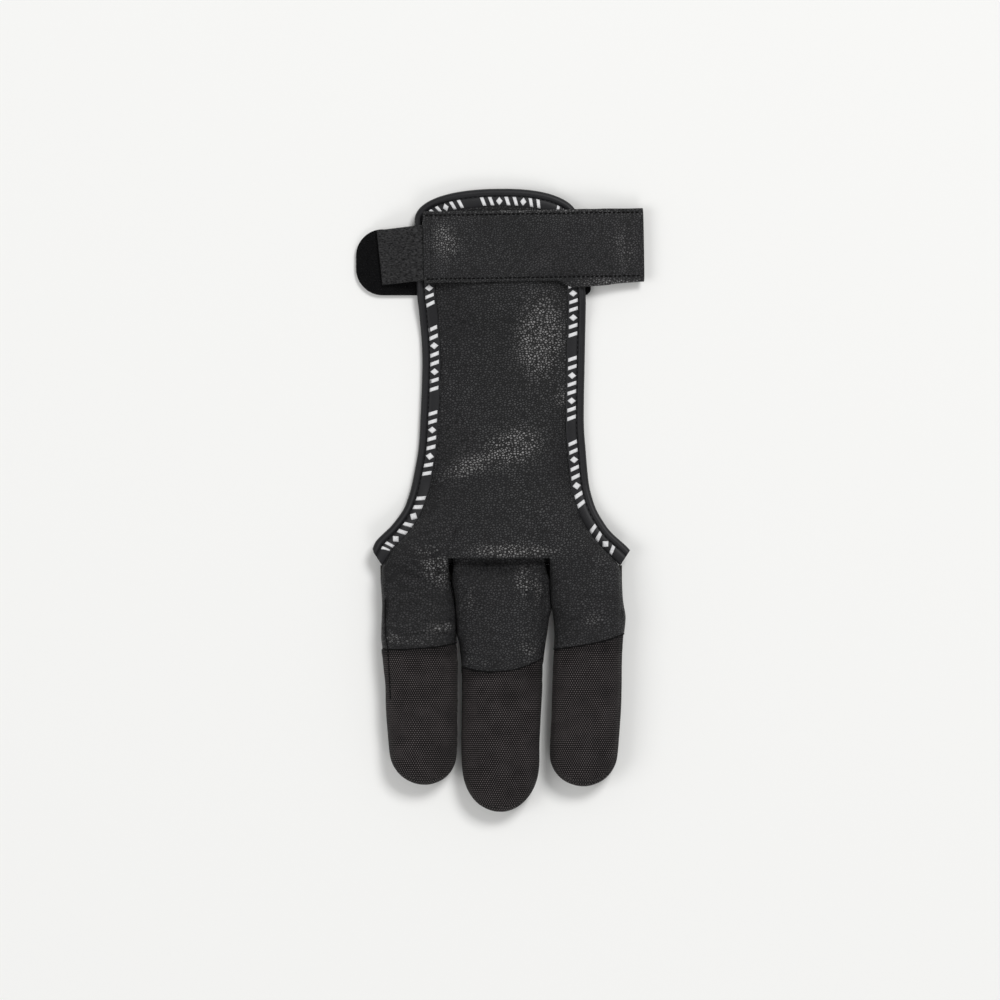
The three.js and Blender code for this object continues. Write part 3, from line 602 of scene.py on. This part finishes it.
middleLook = {
    "narrow": 0.972, "narrowDown": (592, 618), "half": 13.9, "onBack": (0.35, 0.6),
    "seamDown": 668, "seamReach": 20, "seamRise": (2.7, 2.0), "seamMost": 1.2,
    # photo's y from where to where a side closes up to its neighbour, and how far in mm
    "closeLeft": (570, 582, 632, 644, 0.68), "closeRight": (570, 582, 606, 619, 0.95),
    "humps": [(520, 585, 15, 17, 0, 0.8), (500, 600, 34, 22, 0, 0.4), (538, 606, 7, 18, 0, -0.7),
              (470, 590, 8, 26, 0, -0.25), (520, 650, 14, 14, 20, 0.5), (500, 562, 60, 6.5, 0, -3.1),
              (452, 596, 4, 34, 0, -0.9), (546, 596, 4, 30, 0, -1.2)],
    "creases": [
        (460, 590, 478, 596, 2.4, 0.5), (462, 604, 482, 608, 2.4, 0.5), (464, 620, 484, 622, 2.4, 0.4),
        (520, 572, 532, 600, 2.4, 0.5), (530, 566, 540, 590, 2.4, 0.4), (524, 640, 538, 656, 2.2, 0.5),
        (516, 636, 524, 664, 2.2, 0.4)],
    # bright spots, given painted highlight and sheen where the leather faces up: x, y, wide, tall, turn,
    # height
    "wearAndSheen": [(524, 581, 8, 11, 0, 0.8), (537, 588, 4, 12, 0, 0.75), (530, 648, 8, 8, 0, 0.55),
             (470, 600, 4, 14, 0, 0.4), (500, 664, 24, 3, 0, 0.3)],
}


# The middle finger's seam hangs lower in the middle of its back than at its sides
def sagSeam(point):
    look = middleLook
    share = (point.x / mm - glove["centreX"]) / look["half"]
    near = math.exp(-((photoY(point) - look["seamDown"]) / look["seamReach"]) ** 2)
    rise = look["seamRise"][0] if share < 0 else look["seamRise"][1]
    onBack = ease(point.z / mm, *[part * glove["stallHeight"] for part in look["onBack"]])
    return rise * mm * min(look["seamMost"], share * share) * near * onBack


def makeMiddleBack():
    look = middleLook
    bm = subdivided(softCopy("middle_finger_back"), 3)
    for vert in bm.verts:
        point = vert.co
        down = photoY(point)
        point.x *= mix(look["narrow"], 1, ease(down, *look["narrowDown"]))
        start, full, last, end, reach = look["closeLeft"] if point.x < 0 else look["closeRight"]
        share = min(1.0, abs(point.x / mm - glove["centreX"]) / look["half"])
        close = reach * ease(down, start, full) * (1 - ease(down, last, end)) * share ** 4
        point.x += math.copysign(close * mm, point.x)
        point.y += sagSeam(point)
    dressLeather(bm, look)
    return finishPiece(bm, "middle_finger_leather", gloveLeather, ["middle_finger_back"])


palmLook = {"wearAndSheen": 0.1, "patch": 90, "crease": 0.15, "lined": (1, 0.25)}


def makePalmPanel():
    look = palmLook
    bm = subdivided(softCopy("palm_panel"), 2)
    wearAndSheen, crease = floatLayers(bm, "wearAndSheen", "crease")
    for vert in bm.verts:
        vert[wearAndSheen] = look["wearAndSheen"] * max(0.0, noise.noise(vert.co * look["patch"]))
        vert[crease] = look["crease"]
    piece = finishPiece(bm, "palm_leather", gloveLeather, ["palm_panel"])
    return lined(piece, *look["lined"])


# Woven fingertips

tipLook = {
    "hem": 3.0, "hemFade": (2.2, 3.3), "ridge": 0.12, "ridgeWidth": 0.5,
    "seamGroove": 0.28, "seamWidth": 0.45, "patch": 110, "uneven": 0.16, "sideDrop": 0.75,
    # how a face has to face to show the weave from the end or from below, and how far back ends reach
    "endFacing": -0.6, "flatFacing": -0.3, "endDeep": 15,
    # photo's y, how far the index tip's outer side bulges in mm
    "indexBulge": [(640, 0.0), (652, 0.7), (672, 1.3), (700, 1.5), (735, 1.1), (765, 0.7), (780, 0.3)],
}


# How far a point is from the middle of a stall's back, going down round the side
def roundStall(point, centreX, halfWidth):
    side = point.x - centreX
    drop = glove["stallHeight"] * mm - point.z
    share = min(1.0, abs(side) / halfWidth)
    return side + math.copysign(tipLook["sideDrop"] * drop * share * share, side)


# A soft ridge or groove across a distance, full in its middle
def ridged(away, width, height):
    return math.exp(-(away / width) ** 2) * height


def makeFingertip(finger, seamBack, seamHigh):
    look = tipLook
    bm = subdivided(softCopy(finger + "_tip"), 2)
    low, high = map(Vector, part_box(finger + "_tip"))
    centreX = (low.x + high.x) / 2
    halfWidth = (high.x - low.x) / 2
    # how near the hem a point lies, kept in the wear-and-sheen attribute that makes the weave quieter
    hemLayer, = floatLayers(bm, "wearAndSheen")
    for vert in bm.verts:
        point = vert.co
        if finger == "middle":
            point.y += sagSeam(point)
        fromSeam = (high.y - seamBack * mm - point.y) / mm
        vert[hemLayer] = 1 - ease(fromSeam, *look["hemFade"])
        groove = ridged(point.z - seamHigh * mm, look["seamWidth"] * mm, look["seamGroove"])
        ridge = ridged(fromSeam - look["hem"], look["ridgeWidth"], look["ridge"])
        soft = noise.noise(point * look["patch"]) * look["uneven"]
        if finger == "index" and point.x < centreX:
            bulge = lookUp(look["indexBulge"], photoY(point))
            point.x -= bulge * mm * ((centreX - point.x) / halfWidth) ** 2
        vert.co += vert.normal * (soft - groove - ridge) * mm
    bm.normal_update()
    uvLayer = bm.loops.layers.uv.new("weave")
    endFrom = high.y - look["endDeep"] * mm
    for face in bm.faces:
        isEnd = face.normal.y < look["endFacing"] and face.calc_center_median().y < endFrom
        isFlat = isEnd or face.normal.z < look["flatFacing"]
        for loop in face.loops:
            point = loop.vert.co
            around = point.x if isFlat else roundStall(point, centreX, halfWidth)
            loop[uvLayer].uv = (around, point.z if isEnd else point.y)
    return finishPiece(bm, finger + "_fingertip", wovenNylon, [finger + "_tip"])


# A short bead of thread laid along a line, its length, width and height in mm
def addStitch(bm, centre, direction, size):
    made = bmesh.ops.create_uvsphere(bm, u_segments=8, v_segments=5, radius=0.5)
    bmesh.ops.scale(bm, verts=made["verts"], vec=Vector(size) * mm)
    turn = Vector(direction).to_track_quat("X", "Z").to_matrix()
    bmesh.ops.rotate(bm, verts=made["verts"], cent=(0, 0, 0), matrix=turn)
    bmesh.ops.translate(bm, verts=made["verts"], vec=centre)


seamLook = {
    "pitch": 0.95, "bead": (1.25, 0.74, 0.74), "sink": 0.24, "back": 0.16,
    "rimDeep": 14, "rimFacing": 0.8, "rimStep": 12,
}


# The open rim of a fingertip's node: its outer ring in order round the stall
def rimOf(node, look):
    bm = mergedNode(node)
    low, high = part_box(node)
    centre = Vector(((low[0] + high[0]) / 2, 0, glove["stallHeight"] / 2 * mm))
    rimFrom = high[1] - look["rimDeep"] * mm
    rings = {}
    for face in bm.faces:
        if face.normal.y < look["rimFacing"] or face.calc_center_median().y < rimFrom:
            continue
        for vert in face.verts:
            out = Vector((vert.co.x - centre.x, 0, vert.co.z - centre.z))
            spot = round(math.degrees(math.atan2(out.z, out.x)) / look["rimStep"])
            if spot not in rings or out.length > rings[spot][0]:
                rings[spot] = (out.length, vert.co.copy())
    bm.free()
    points = [rings[spot][1] for spot in sorted(rings)]
    return centre, points + [points[0]]


def makeSeamThread(finger):
    look = seamLook
    centre, points = rimOf(finger + "_tip", look)
    bm = bmesh.new()
    left = 0.0
    for start, end in zip(points, points[1:]):
        run = end - start
        spot = left
        while spot < run.length:
            here = start + run * (spot / run.length)
            out = Vector((here.x - centre.x, 0, here.z - centre.z)).normalized()
            here += Vector((0, look["back"] * mm, 0)) - out * look["sink"] * mm
            if finger == "middle":
                here.y += sagSeam(here)
            addStitch(bm, here, run, look["bead"])
            spot += look["pitch"] * mm
        left = spot - run.length
    return finishPiece(bm, finger + "_seam_thread", blackThread, [])


# Photo's run of the index stall's side seam, from the leather on to the weave
sideSeamLook = {
    "run": [(385.8, 600), (385.6, 622), (386.4, 636), (388.2, 646), (389.2, 664), (390.2, 682), (391, 700)],
    "pitch": 0.8, "bead": (1.1, 0.5, 0.5), "sink": 0.05,
}


def makeSideSeam(pieces):
    look = sideSeamLook
    bm = bmesh.new()
    for piece in pieces:
        bm.from_mesh(piece.data)
    topAt = surfaceOver(bm)
    points = []
    for x, y in look["run"]:
        place = fromPhoto(x, y)
        points.append(Vector((place.x, place.y, topAt(place.x, place.y) - look["sink"] * mm)))
    bm = bmesh.new()
    for start, end in zip(points, points[1:]):
        count = max(1, round((end - start).length / (look["pitch"] * mm)))
        for number in range(count):
            addStitch(bm, start.lerp(end, number / count), end - start, look["bead"])
    return finishPiece(bm, "index_side_seam", blackThread, [])


# How far back from a fingertip's open end its crosswise seam lies, and how high its side seam
tipSeams = {"index": (1.5, 6.2), "middle": (2.2, 6.2), "ring": (3.2, 8.8)}
makeMiddleBack()
makePalmPanel()
leatherBack = makeBackPanel()
for finger, (seamBack, seamHigh) in tipSeams.items():
    fingertip = makeFingertip(finger, seamBack, seamHigh)
    makeSeamThread(finger)
    if finger == "index":
        makeSideSeam([leatherBack, fingertip])
print("stage: leather and fingertips made")


# Binding round the back's free edge

# up as a share of the neck's length, then left and right as shares of their reach
flareShares = [
    (0.022, 1.00, 1.00), (0.035, 0.97, 0.90), (0.049, 0.91, 0.77), (0.068, 0.77, 0.60), (0.089, 0.61, 0.46),
    (0.130, 0.385, 0.26), (0.171, 0.265, 0.145), (0.211, 0.19, 0.08), (0.293, 0.08, 0.02),
    (0.374, 0.04, -0.02), (0.537, 0.00, 0.00), (0.659, 0.06, 0.02), (0.705, 0.10, 0.02),
    (0.790, 0.13, -0.03), (0.850, 0.15, -0.09), (0.911, 0.155, -0.14),
]
tapeLook = {
    "thick": 2.8, "cut": 57, "cutReach": 3.5, "rows": 420, "capSteps": 24, "hard": 60, "edgeCrease": 0.6,
    "rippleAlong": 90, "rippleAcross": 0.4, "ripple": 0.06, "rippleFrom": 1,
    # across the tape from its outer side, and height over its underside
    "profile": [(0.9, 0.0), (0.3, 0.35), (0.02, 1.05), (0.12, 1.85), (0.6, 2.45), (1.3, 2.72), (2.0, 2.62),
                (2.42, 2.25), (2.6, 2.02), (2.78, 2.22), (3.2, 2.46), (4.3, 2.55), (5.4, 2.5), (6.0, 2.42),
                (6.32, 2.28), (6.3, 2.12), (5.75, 2.0), (5.7, 0.9), (5.3, 0.2), (4.6, 0.0)],
    "top": slice(3, 15),  # the profile's rows that face up
    "stitchPitch": 1.7, "stitch": (1.05, 0.34, 0.3), "stitchEnd": 2, "stitchAcross": 2.6, "stitchHigh": 2.1,
}
aheadStep = 0.5  # how far on a line's next point is looked up, in mm


def hookLift(up):
    low = glove["hookUp"] - glove["hookWidth"] / 2
    return (glove["hookThick"] + glove["gap"]) * ease(up, low - glove["hookRise"], low - glove["gap"])


def tapeLow(up):
    corner = glove["stallHeight"] / 2 + glove["gap"] / 2 - (tapeLook["thick"] + glove["leather"]) / 2
    return mix(corner, hookLift(up), ease(up, 0, glove["flareShare"] * glove["neckLength"]))


def tapePath():
    half = glove["neckWidth"] / 2
    capStart = glove["neckLength"] - glove["capHeight"]
    low = flareShares[0][0] * glove["neckLength"]
    span = flareShares[-1][0] - flareShares[0][0]
    heights = [mix(low, capStart, (row[0] - flareShares[0][0]) / span) for row in flareShares]
    offset = glove["neckOffset"]
    left, right, cap = [], [], []
    for (_, leftShare, rightShare), up in zip(flareShares, heights):
        left.append(Vector((offset - half - leftShare * glove["leftReach"], up)))
        right.append(Vector((offset + half + rightShare * glove["rightReach"], up)))
    for step in range(1, tapeLook["capSteps"]):
        angle = math.pi - step / tapeLook["capSteps"] * math.pi
        wide = offset - left[-1].x if math.cos(angle) < 0 else right[-1].x - offset
        cap.append(Vector((offset + wide * rounded(math.cos(angle), glove["capRound"]),
                           capStart + glove["capHeight"] * rounded(math.sin(angle), glove["capRound"]))))
    return left + cap + right[::-1]


# Even steps along a smooth run through the path's points: place, direction inward, and length so far
def evenSteps(points, count):
    dense = []
    parts = 12
    near = 3
    padded = [points[0], *points, points[-1]]
    for before, start, end, after in zip(padded, padded[1:], padded[2:], padded[3:]):
        for part in range(parts):
            t = part / parts
            slope, bow = end - before, 2 * before - 5 * start + 4 * end - after
            dense.append(0.5 * (2 * start + slope * t + bow * t * t
                                + (3 * start - before - 3 * end + after) * t * t * t))
    dense.append(points[-1])
    lengths = [0.0]
    for start, end in zip(dense, dense[1:]):
        lengths.append(lengths[-1] + (end - start).length)
    steps = []
    spot = 0
    for number in range(count + 1):
        goal = lengths[-1] * number / count
        while spot < len(lengths) - 2 and lengths[spot + 1] < goal:
            spot += 1
        share = (goal - lengths[spot]) / max(1e-9, lengths[spot + 1] - lengths[spot])
        steps.append((dense[spot].lerp(dense[spot + 1], share), goal))
    placed = []
    for number, (place, length) in enumerate(steps):
        ahead = steps[min(count, number + near)][0] - steps[max(0, number - near)][0]
        placed.append((place, Vector((ahead.y, -ahead.x)).normalized(), length))
    return placed


tapeSteps = evenSteps(tapePath(), tapeLook["rows"])
tapeLength = tapeSteps[-1][2]


# A point on the tape: along it and across it in mm, at a height over its underside
def onTape(along, across, height):
    place = min(max(along / tapeLength, 0), 1) * tapeLook["rows"]
    number = min(int(place), tapeLook["rows"] - 1)
    share = place - number
    (startPlace, startIn, _), (endPlace, endIn, _) = tapeSteps[number], tapeSteps[number + 1]
    inward = startIn.lerp(endIn, share).normalized()
    ends = 1 - ease(min(along, tapeLength - along), 0, tapeLook["cutReach"])
    angle = math.radians(tapeLook["cut"])
    cut = Vector((math.cos(angle), -math.sin(angle)))
    if along > tapeLength / 2:
        cut.x = -cut.x
    inward = inward.lerp(cut, ends * ends).normalized()
    plan = startPlace.lerp(endPlace, share) + inward * across
    low = tapeLow(startPlace.lerp(endPlace, share).y)
    return Vector((plan.x + glove["centreX"], plan.y + glove["knuckleY"], low + height)) * mm


def makeTape():
    look = tapeLook
    count = len(look["profile"])

    def place(across, along):
        side, height = look["profile"][round(across * count) % count]
        spot = Vector((along * look["rippleAlong"], side * look["rippleAcross"], 0))
        ripple = noise.noise(spot) * look["ripple"]
        return onTape(along * tapeLength, side, height + (ripple if height > look["rippleFrom"] else 0))

    bm = placedSleeve(count, look["rows"], place)
    layer = bm.edges.layers.float.new("crease_edge")
    for edge in bm.edges:
        if edge.calc_face_angle(0) > math.radians(look["hard"]):
            edge[layer] = look["edgeCrease"]
    return finishPiece(subdivided(bm, 1), "edge_tape", satinTape, ["edge_binding"])


markLook = {
    "group": 8, "pitch": 2.85, "gap": 5.4, "across": 4.3, "tall": 2.9, "wide": 1.25, "slant": 0.35,
    "start": 3.0, "end": 2.5, "diamond": 0.8, "lift": 0.05, "thick": 0.07,
    # width and height as shares of a mark, and whether it is a diamond
    "shapes": [(1.0, 1.0, False), (1.0, 1.0, False), (1.15, 0.62, True)],
}


# Plain slanted bars and diamonds in groups on the tape's inner band
def makeTapeMarks():
    bm = bmesh.new()
    look = markLook
    top = tapeLook["profile"][tapeLook["top"]]
    start = look["start"]
    while start < tapeLength - look["start"]:
        for number in range(look["group"]):
            centre = start + number * look["pitch"]
            if centre > tapeLength - look["end"]:
                break
            wide, tall, isDiamond = look["shapes"][number % len(look["shapes"])]
            grid = bmesh.ops.create_grid(bm, x_segments=3, y_segments=4, size=0.5)
            for vert in grid["verts"]:
                side, rise = vert.co.x, vert.co.y
                if isDiamond:
                    side, rise = (side + rise) * look["diamond"], (rise - side) * look["diamond"]
                across = look["across"] + rise * tall * look["tall"]
                lean = 0 if isDiamond else (across - look["across"]) * look["slant"]
                along = centre + lean + side * wide * look["wide"]
                vert.co = onTape(along, across, lookUp(top, across) + look["lift"])
        start += look["group"] * look["pitch"] + look["gap"]
    return finishPiece(thickened(bm, look["thick"] * mm), "tape_marks", markPrint, [])


def makeTapeStitches():
    bm = bmesh.new()
    look = tapeLook
    for number in range(int((tapeLength - 2 * look["stitchEnd"]) / look["stitchPitch"])):
        along = look["stitchEnd"] + number * look["stitchPitch"]
        here, ahead = [onTape(place, look["stitchAcross"], look["stitchHigh"])
                       for place in (along, along + aheadStep)]
        addStitch(bm, here, ahead - here, look["stitch"])
    return finishPiece(bm, "tape_stitches", blackThread, [])


palmTapeLook = {"rim": 0.2, "patch": 140, "uneven": 0.08}


def makePalmTape():
    look = palmTapeLook
    bm = subdivided(softCopy("palm_binding", look["rim"]), 2)
    for vert in bm.verts:
        vert.co += vert.normal * noise.noise(vert.co * look["patch"]) * look["uneven"] * mm
    return finishPiece(bm, "palm_tape", satinTape, ["palm_binding"])


makeTape()
makeTapeMarks()
makeTapeStitches()
makePalmTape()
print("stage: binding made,", round(tapeLength), "mm long")


# Wrist strap, its backing, and the elastic

bandLook = {
    "wideShare": 0.94, "endInset": 0.5,  # how far in from a band's edges its height is looked up
    "waveAlong": 0.09, "waveAcross": 0.05, "foldSoft": 0.5,
    "raggedAlong": 0.2, "raggedAcross": 0.02, "lipSide": (1.1, 0.5), "lipRest": 0.7,
    "closing": 0.45, "endRow": 0.25,  # how a band's ends are rounded
    "underEdge": (0.15, 0.7), "underRise": 0.8,  # and its underside's edges
}


# A point on a band: along it and across it in mm, at a height over the frame node's top
def bandPoint(look, along, across, height):
    turn = math.radians(look["turn"])

    def onTable(u, side):
        return (look["middle"][0] + u * math.cos(turn) - side * math.sin(turn),
                look["middle"][1] + u * math.sin(turn) + side * math.cos(turn))

    u = along - look["length"] / 2
    x, y = onTable(u, across)
    half = look["width"] / 2 * bandLook["wideShare"]
    end = look["length"] / 2 - bandLook["endInset"]
    inX, inY = onTable(min(max(u, -end), end), min(max(across, -half), half))
    spot = Vector((along * bandLook["waveAlong"], across * bandLook["waveAcross"], look["seed"]))
    wave = noise.noise(spot) * look["wave"]
    wave -= look["fold"][1] * (1 - ease(along, look["fold"][0] - bandLook["foldSoft"], look["fold"][0]))
    return Vector((x * mm, y * mm, look["topAt"](inX * mm, inY * mm) + (height + wave) * mm))


# A band over a frame node: a closed sleeve with the look's own section, its ends rounded
def makeBand(look):
    profile = look["profile"]
    rows = look["rows"]
    middle = -look["thick"] / 2
    edgeFrom, edgeTo = [look["width"] / 2 - inset for inset in bandLook["lipSide"]]

    def place(across, along):
        side, height = profile[round(across * len(profile)) % len(profile)]
        row = round(along * rows)
        closing = bandLook["closing"] if row in (0, rows) else 1.0
        step = min(max(row - 1, 0), rows - 2) / (rows - 2)
        reach = bandLook["endRow"] + step * (look["length"] - 2 * bandLook["endRow"])
        if row == 0:
            reach = 0
        if row == rows:
            reach = look["length"]
        spot = Vector((reach * bandLook["raggedAlong"], side * bandLook["raggedAcross"], look["seed"]))
        edge = 1 + look["ragged"] * noise.noise(spot)
        start, full, end, lip = look["lip"]
        rest = 1 - bandLook["lipRest"] * ease(reach, full, end)
        lift = ease(reach, start, full) * rest * lip * ease(-side, edgeFrom, edgeTo)
        return bandPoint(look, reach, side * edge - lift, middle + (height - middle) * closing)

    return placedSleeve(len(profile), rows, place)


# Across and height of a band's section from its upper edge's half, and its underside
def mirroredProfile(half, thick):
    top = [(-across, height) for across, height in half] + half[::-1]
    width = half[0][0]
    outer, inner = bandLook["underEdge"]
    under = [(width - outer, -thick * bandLook["underRise"]), (width - inner, -thick), (width / 2, -thick)]
    return top + under + [(0, -thick)] + [(-across, height) for across, height in under[::-1]]


strapLook = {
    "middle": (11.3, 86.35), "length": 75.0, "width": 24.4, "thick": 1.2, "turn": 1.0, "rows": 150,
    "wave": 0.16, "seed": 3.0, "ragged": 0.012, "fold": (2.9, 0.75), "lip": (45, 51, 75, 2.3),
    "topAt": surfaceOver(nodeMesh("wrist_strap")), "crease": 0.12, "lined": (-1, 0.5),
    "profile": mirroredProfile([(12.2, -0.6), (12.1, -0.25), (11.8, -0.02), (11.4, 0.06), (11.05, 0.0),
                                (10.8, -0.26), (10.5, -0.02), (9.9, 0.12), (8.6, 0.16), (6.4, 0.14),
                                (4.2, 0.12), (2.0, 0.12)], 1.2),
    "stitchPitch": 1.55, "stitch": (1.2, 0.72, 0.5), "stitchEnd": 1.5, "stitchAcross": 10.8,
    "stitchHigh": -0.14,
    # bright spots and lines along the strap's edges, given painted highlight and sheen where the strap faces
    # up: x, y, wide, tall, turn, height
    "wearAndSheen": [(446, 242, 11, 15, 20, 0.75), (624, 246, 12, 22, 0, 0.45), (540, 212, 70, 1.6, 0, 0.6),
             (530, 219.5, 80, 1.2, 0, 0.35), (606, 283, 30, 2, 2, 0.9), (480, 283, 40, 1.6, 0, 0.4),
             (540, 262, 30, 5, 0, 0.3)],
    "humps": [(446, 244, 14, 26, 0, 0.35), (500, 250, 16, 30, 0, -0.2), (575, 245, 30, 30, 0, 0.25)],
}
backingLook = {
    "middle": (40.0, 86.35), "length": 16.4, "width": 23.2, "thick": 1.1, "turn": 1.0, "rows": 36,
    "wave": 0.1, "seed": 5.0, "ragged": 0.01, "fold": (0.5, 0.0), "lip": (0, 1, 2, 0.0),
    "topAt": surfaceOver(nodeMesh("strap_backing")),
    "profile": mirroredProfile([(11.6, -0.55), (11.5, -0.2), (11.1, 0.0), (8.0, 0.03), (4.0, 0.0)], 1.1),
}
elasticLook = {
    "middle": (-29.85, 83.55), "length": 22.5, "width": 18.8, "thick": 1.2, "turn": 6.0, "rows": 60,
    "wave": 0.12, "seed": 8.0, "ragged": 0.008, "fold": (0.5, 0.0), "lip": (0, 1, 2, 0.0),
    "topAt": surfaceOver(nodeMesh("elastic_band")), "ribPitch": 0.85, "ribDepth": 0.22, "ribSteps": 42,
}


def ribbedProfile(look):
    half = [(9.4, -0.6), (9.3, -0.2)]
    for step in range(look["ribSteps"], 0, -1):
        across = step * look["ribPitch"] / 4
        half.append((across, (abs(math.sin(across / look["ribPitch"] * math.pi)) - 0.5) * look["ribDepth"]))
    return mirroredProfile(half, look["thick"])


elasticLook["profile"] = ribbedProfile(elasticLook)


def makeStrap():
    look = strapLook
    bm = makeBand(look)
    bm.normal_update()
    wearAndSheen, crease = floatLayers(bm, "wearAndSheen", "crease")
    for vert in bm.verts:
        vert.co.z += humpHeight(vert.co, look["humps"])
        vert[wearAndSheen] = wearAndSheenAt(vert, look["wearAndSheen"])
        vert[crease] = look["crease"]
    piece = finishPiece(subdivided(bm, 1), "strap_leather", strapLeather, ["wrist_strap"])
    return lined(piece, *look["lined"])


def makeStrapStitches():
    look = strapLook
    bm = bmesh.new()
    count = int((look["length"] - 2 * look["stitchEnd"]) / look["stitchPitch"])
    for across in (-look["stitchAcross"], look["stitchAcross"]):
        for number in range(count + 1):
            along = look["stitchEnd"] + number * look["stitchPitch"]
            for height in (look["stitchHigh"], -look["thick"]):
                here, ahead = [bandPoint(look, along + step, across, height) for step in (0, aheadStep)]
                here.z += humpHeight(here, look["humps"])
                addStitch(bm, here, ahead - here, look["stitch"])
    return finishPiece(bm, "strap_stitches", blackThread, [])


# Small bent hooks on the tab, where it shows
hookLook = {
    "pitch": 1.05, "foot": 0.24, "tip": 0.6, "tall": 0.55, "bend": 0.3, "sunk": 0.45,
    "stray": 0.25, "clear": 0.5, "rim": 0.9,
    # left, bottom, right, top of the areas with hooks
    "areas": [(-48.6, 69.5, -25.0, 92.2), (24.5, 69.5, 31.0, 92.2)],
}


def makeHooks():
    look = hookLook
    topAt = surfaceOver(nodeMesh("hook_strip"))
    chance = random.Random(5)
    stray = look["stray"]
    sides = (-look["clear"], look["clear"])
    bm = bmesh.new()
    for left, bottom, right, top in look["areas"]:
        for column in range(int((right - left) / look["pitch"])):
            for row in range(int((top - bottom) / look["pitch"])):
                x = left + (column + 0.5 * (row % 2) + chance.uniform(-stray, stray)) * look["pitch"]
                y = bottom + (row + chance.uniform(-stray, stray)) * look["pitch"]
                foot = topAt(x * mm, y * mm, -1)
                if min(topAt((x + side) * mm, (y + rise) * mm, -1) for side in sides for rise in sides) < 0:
                    continue
                made = bmesh.ops.create_cone(bm, cap_ends=True, segments=4, radius1=look["foot"] * mm,
                                             radius2=look["foot"] * look["tip"] * mm,
                                             depth=look["tall"] * mm)
                for vert in made["verts"]:
                    if vert.co.z > 0:
                        vert.co.x += chance.choice((-1, 1)) * look["bend"] * mm * 0.5
                        vert.co.y += chance.uniform(-0.5, 0.5) * look["bend"] * mm
                bmesh.ops.translate(bm, verts=made["verts"],
                                    vec=(x * mm, y * mm, foot + look["tall"] * look["sunk"] * mm))
    return finishPiece(bm, "hook_pile", hookPlastic, [], smooth=False)


makeStrap()
makeStrapStitches()
finishPiece(makeBand(backingLook), "strap_loop_patch", loopPile, ["strap_backing"])
finishPiece(makeBand(elasticLook), "elastic_ribbed", stretchKnit, ["elastic_band"])
finishPiece(softCopy("hook_strip", hookLook["rim"]), "hook_plate", hookPlastic, ["hook_strip"],
            smooth=False)
makeHooks()
print("stage: strap, elastic and hook strip made")


# Floor, lights and camera

stage = {
    "floor": (0.90, 0.90, 0.885), "floorSize": 3, "floorDrop": 0.0002,
    "cameraHeight": 2.4, "frameWidth": 0.34, "sensor": 36, "centre": 500, "roomLight": 0.325,
    # place, size, watts
    "lights": {
        "key": ((1.10, 1.70, 2.60), (1.2, 1.0), 58),
        "fill": ((-2.4, -0.4, 2.6), (2.0, 2.0), 34),
        "rim": ((0.9, -2.5, 2.3), (1.8, 1.2), 20),
    },
}


def makeStage():
    bm = bmesh.new()
    bmesh.ops.create_grid(bm, x_segments=1, y_segments=1, size=stage["floorSize"])
    bmesh.ops.translate(bm, verts=bm.verts, vec=(0, 0, -stage["floorDrop"]))
    floor = meshObject(bm, "floor")
    material, tree, shader = newMaterial("paleFloor", 0.9, 0.1)
    shader.inputs["Base Color"].default_value = (*stage["floor"], 1)
    floor.data.materials.append(material)


def addLight(name, place, size, watts):
    light = bpy.data.lights.new(name, "AREA")
    light.shape = "RECTANGLE"
    light.size, light.size_y = size
    light.energy = watts
    lamp = linked(name, light)
    lamp.location = place
    lamp.rotation_euler = (-Vector(place)).to_track_quat("-Z", "Y").to_euler()


makeStage()
for name, (place, size, watts) in stage["lights"].items():
    addLight(name, place, size, watts)

world = bpy.data.worlds.new("softRoom")
world.use_nodes = True
world.node_tree.nodes["Background"].inputs[0].default_value = (1.0, 1.0, 1.0, 1)
world.node_tree.nodes["Background"].inputs[1].default_value = stage["roomLight"]
bpy.context.scene.world = world
bpy.context.scene.view_settings.view_transform = "Standard"

camera = bpy.data.cameras.new("camera")
camera.sensor_width = stage["sensor"]
camera.lens = stage["sensor"] * stage["cameraHeight"] / stage["frameWidth"]
view = linked("camera", camera)
view.location = fromPhoto(stage["centre"], stage["centre"]) + Vector((0, 0, stage["cameraHeight"]))
bpy.context.scene.camera = view
print("stage: floor, lights and camera placed")
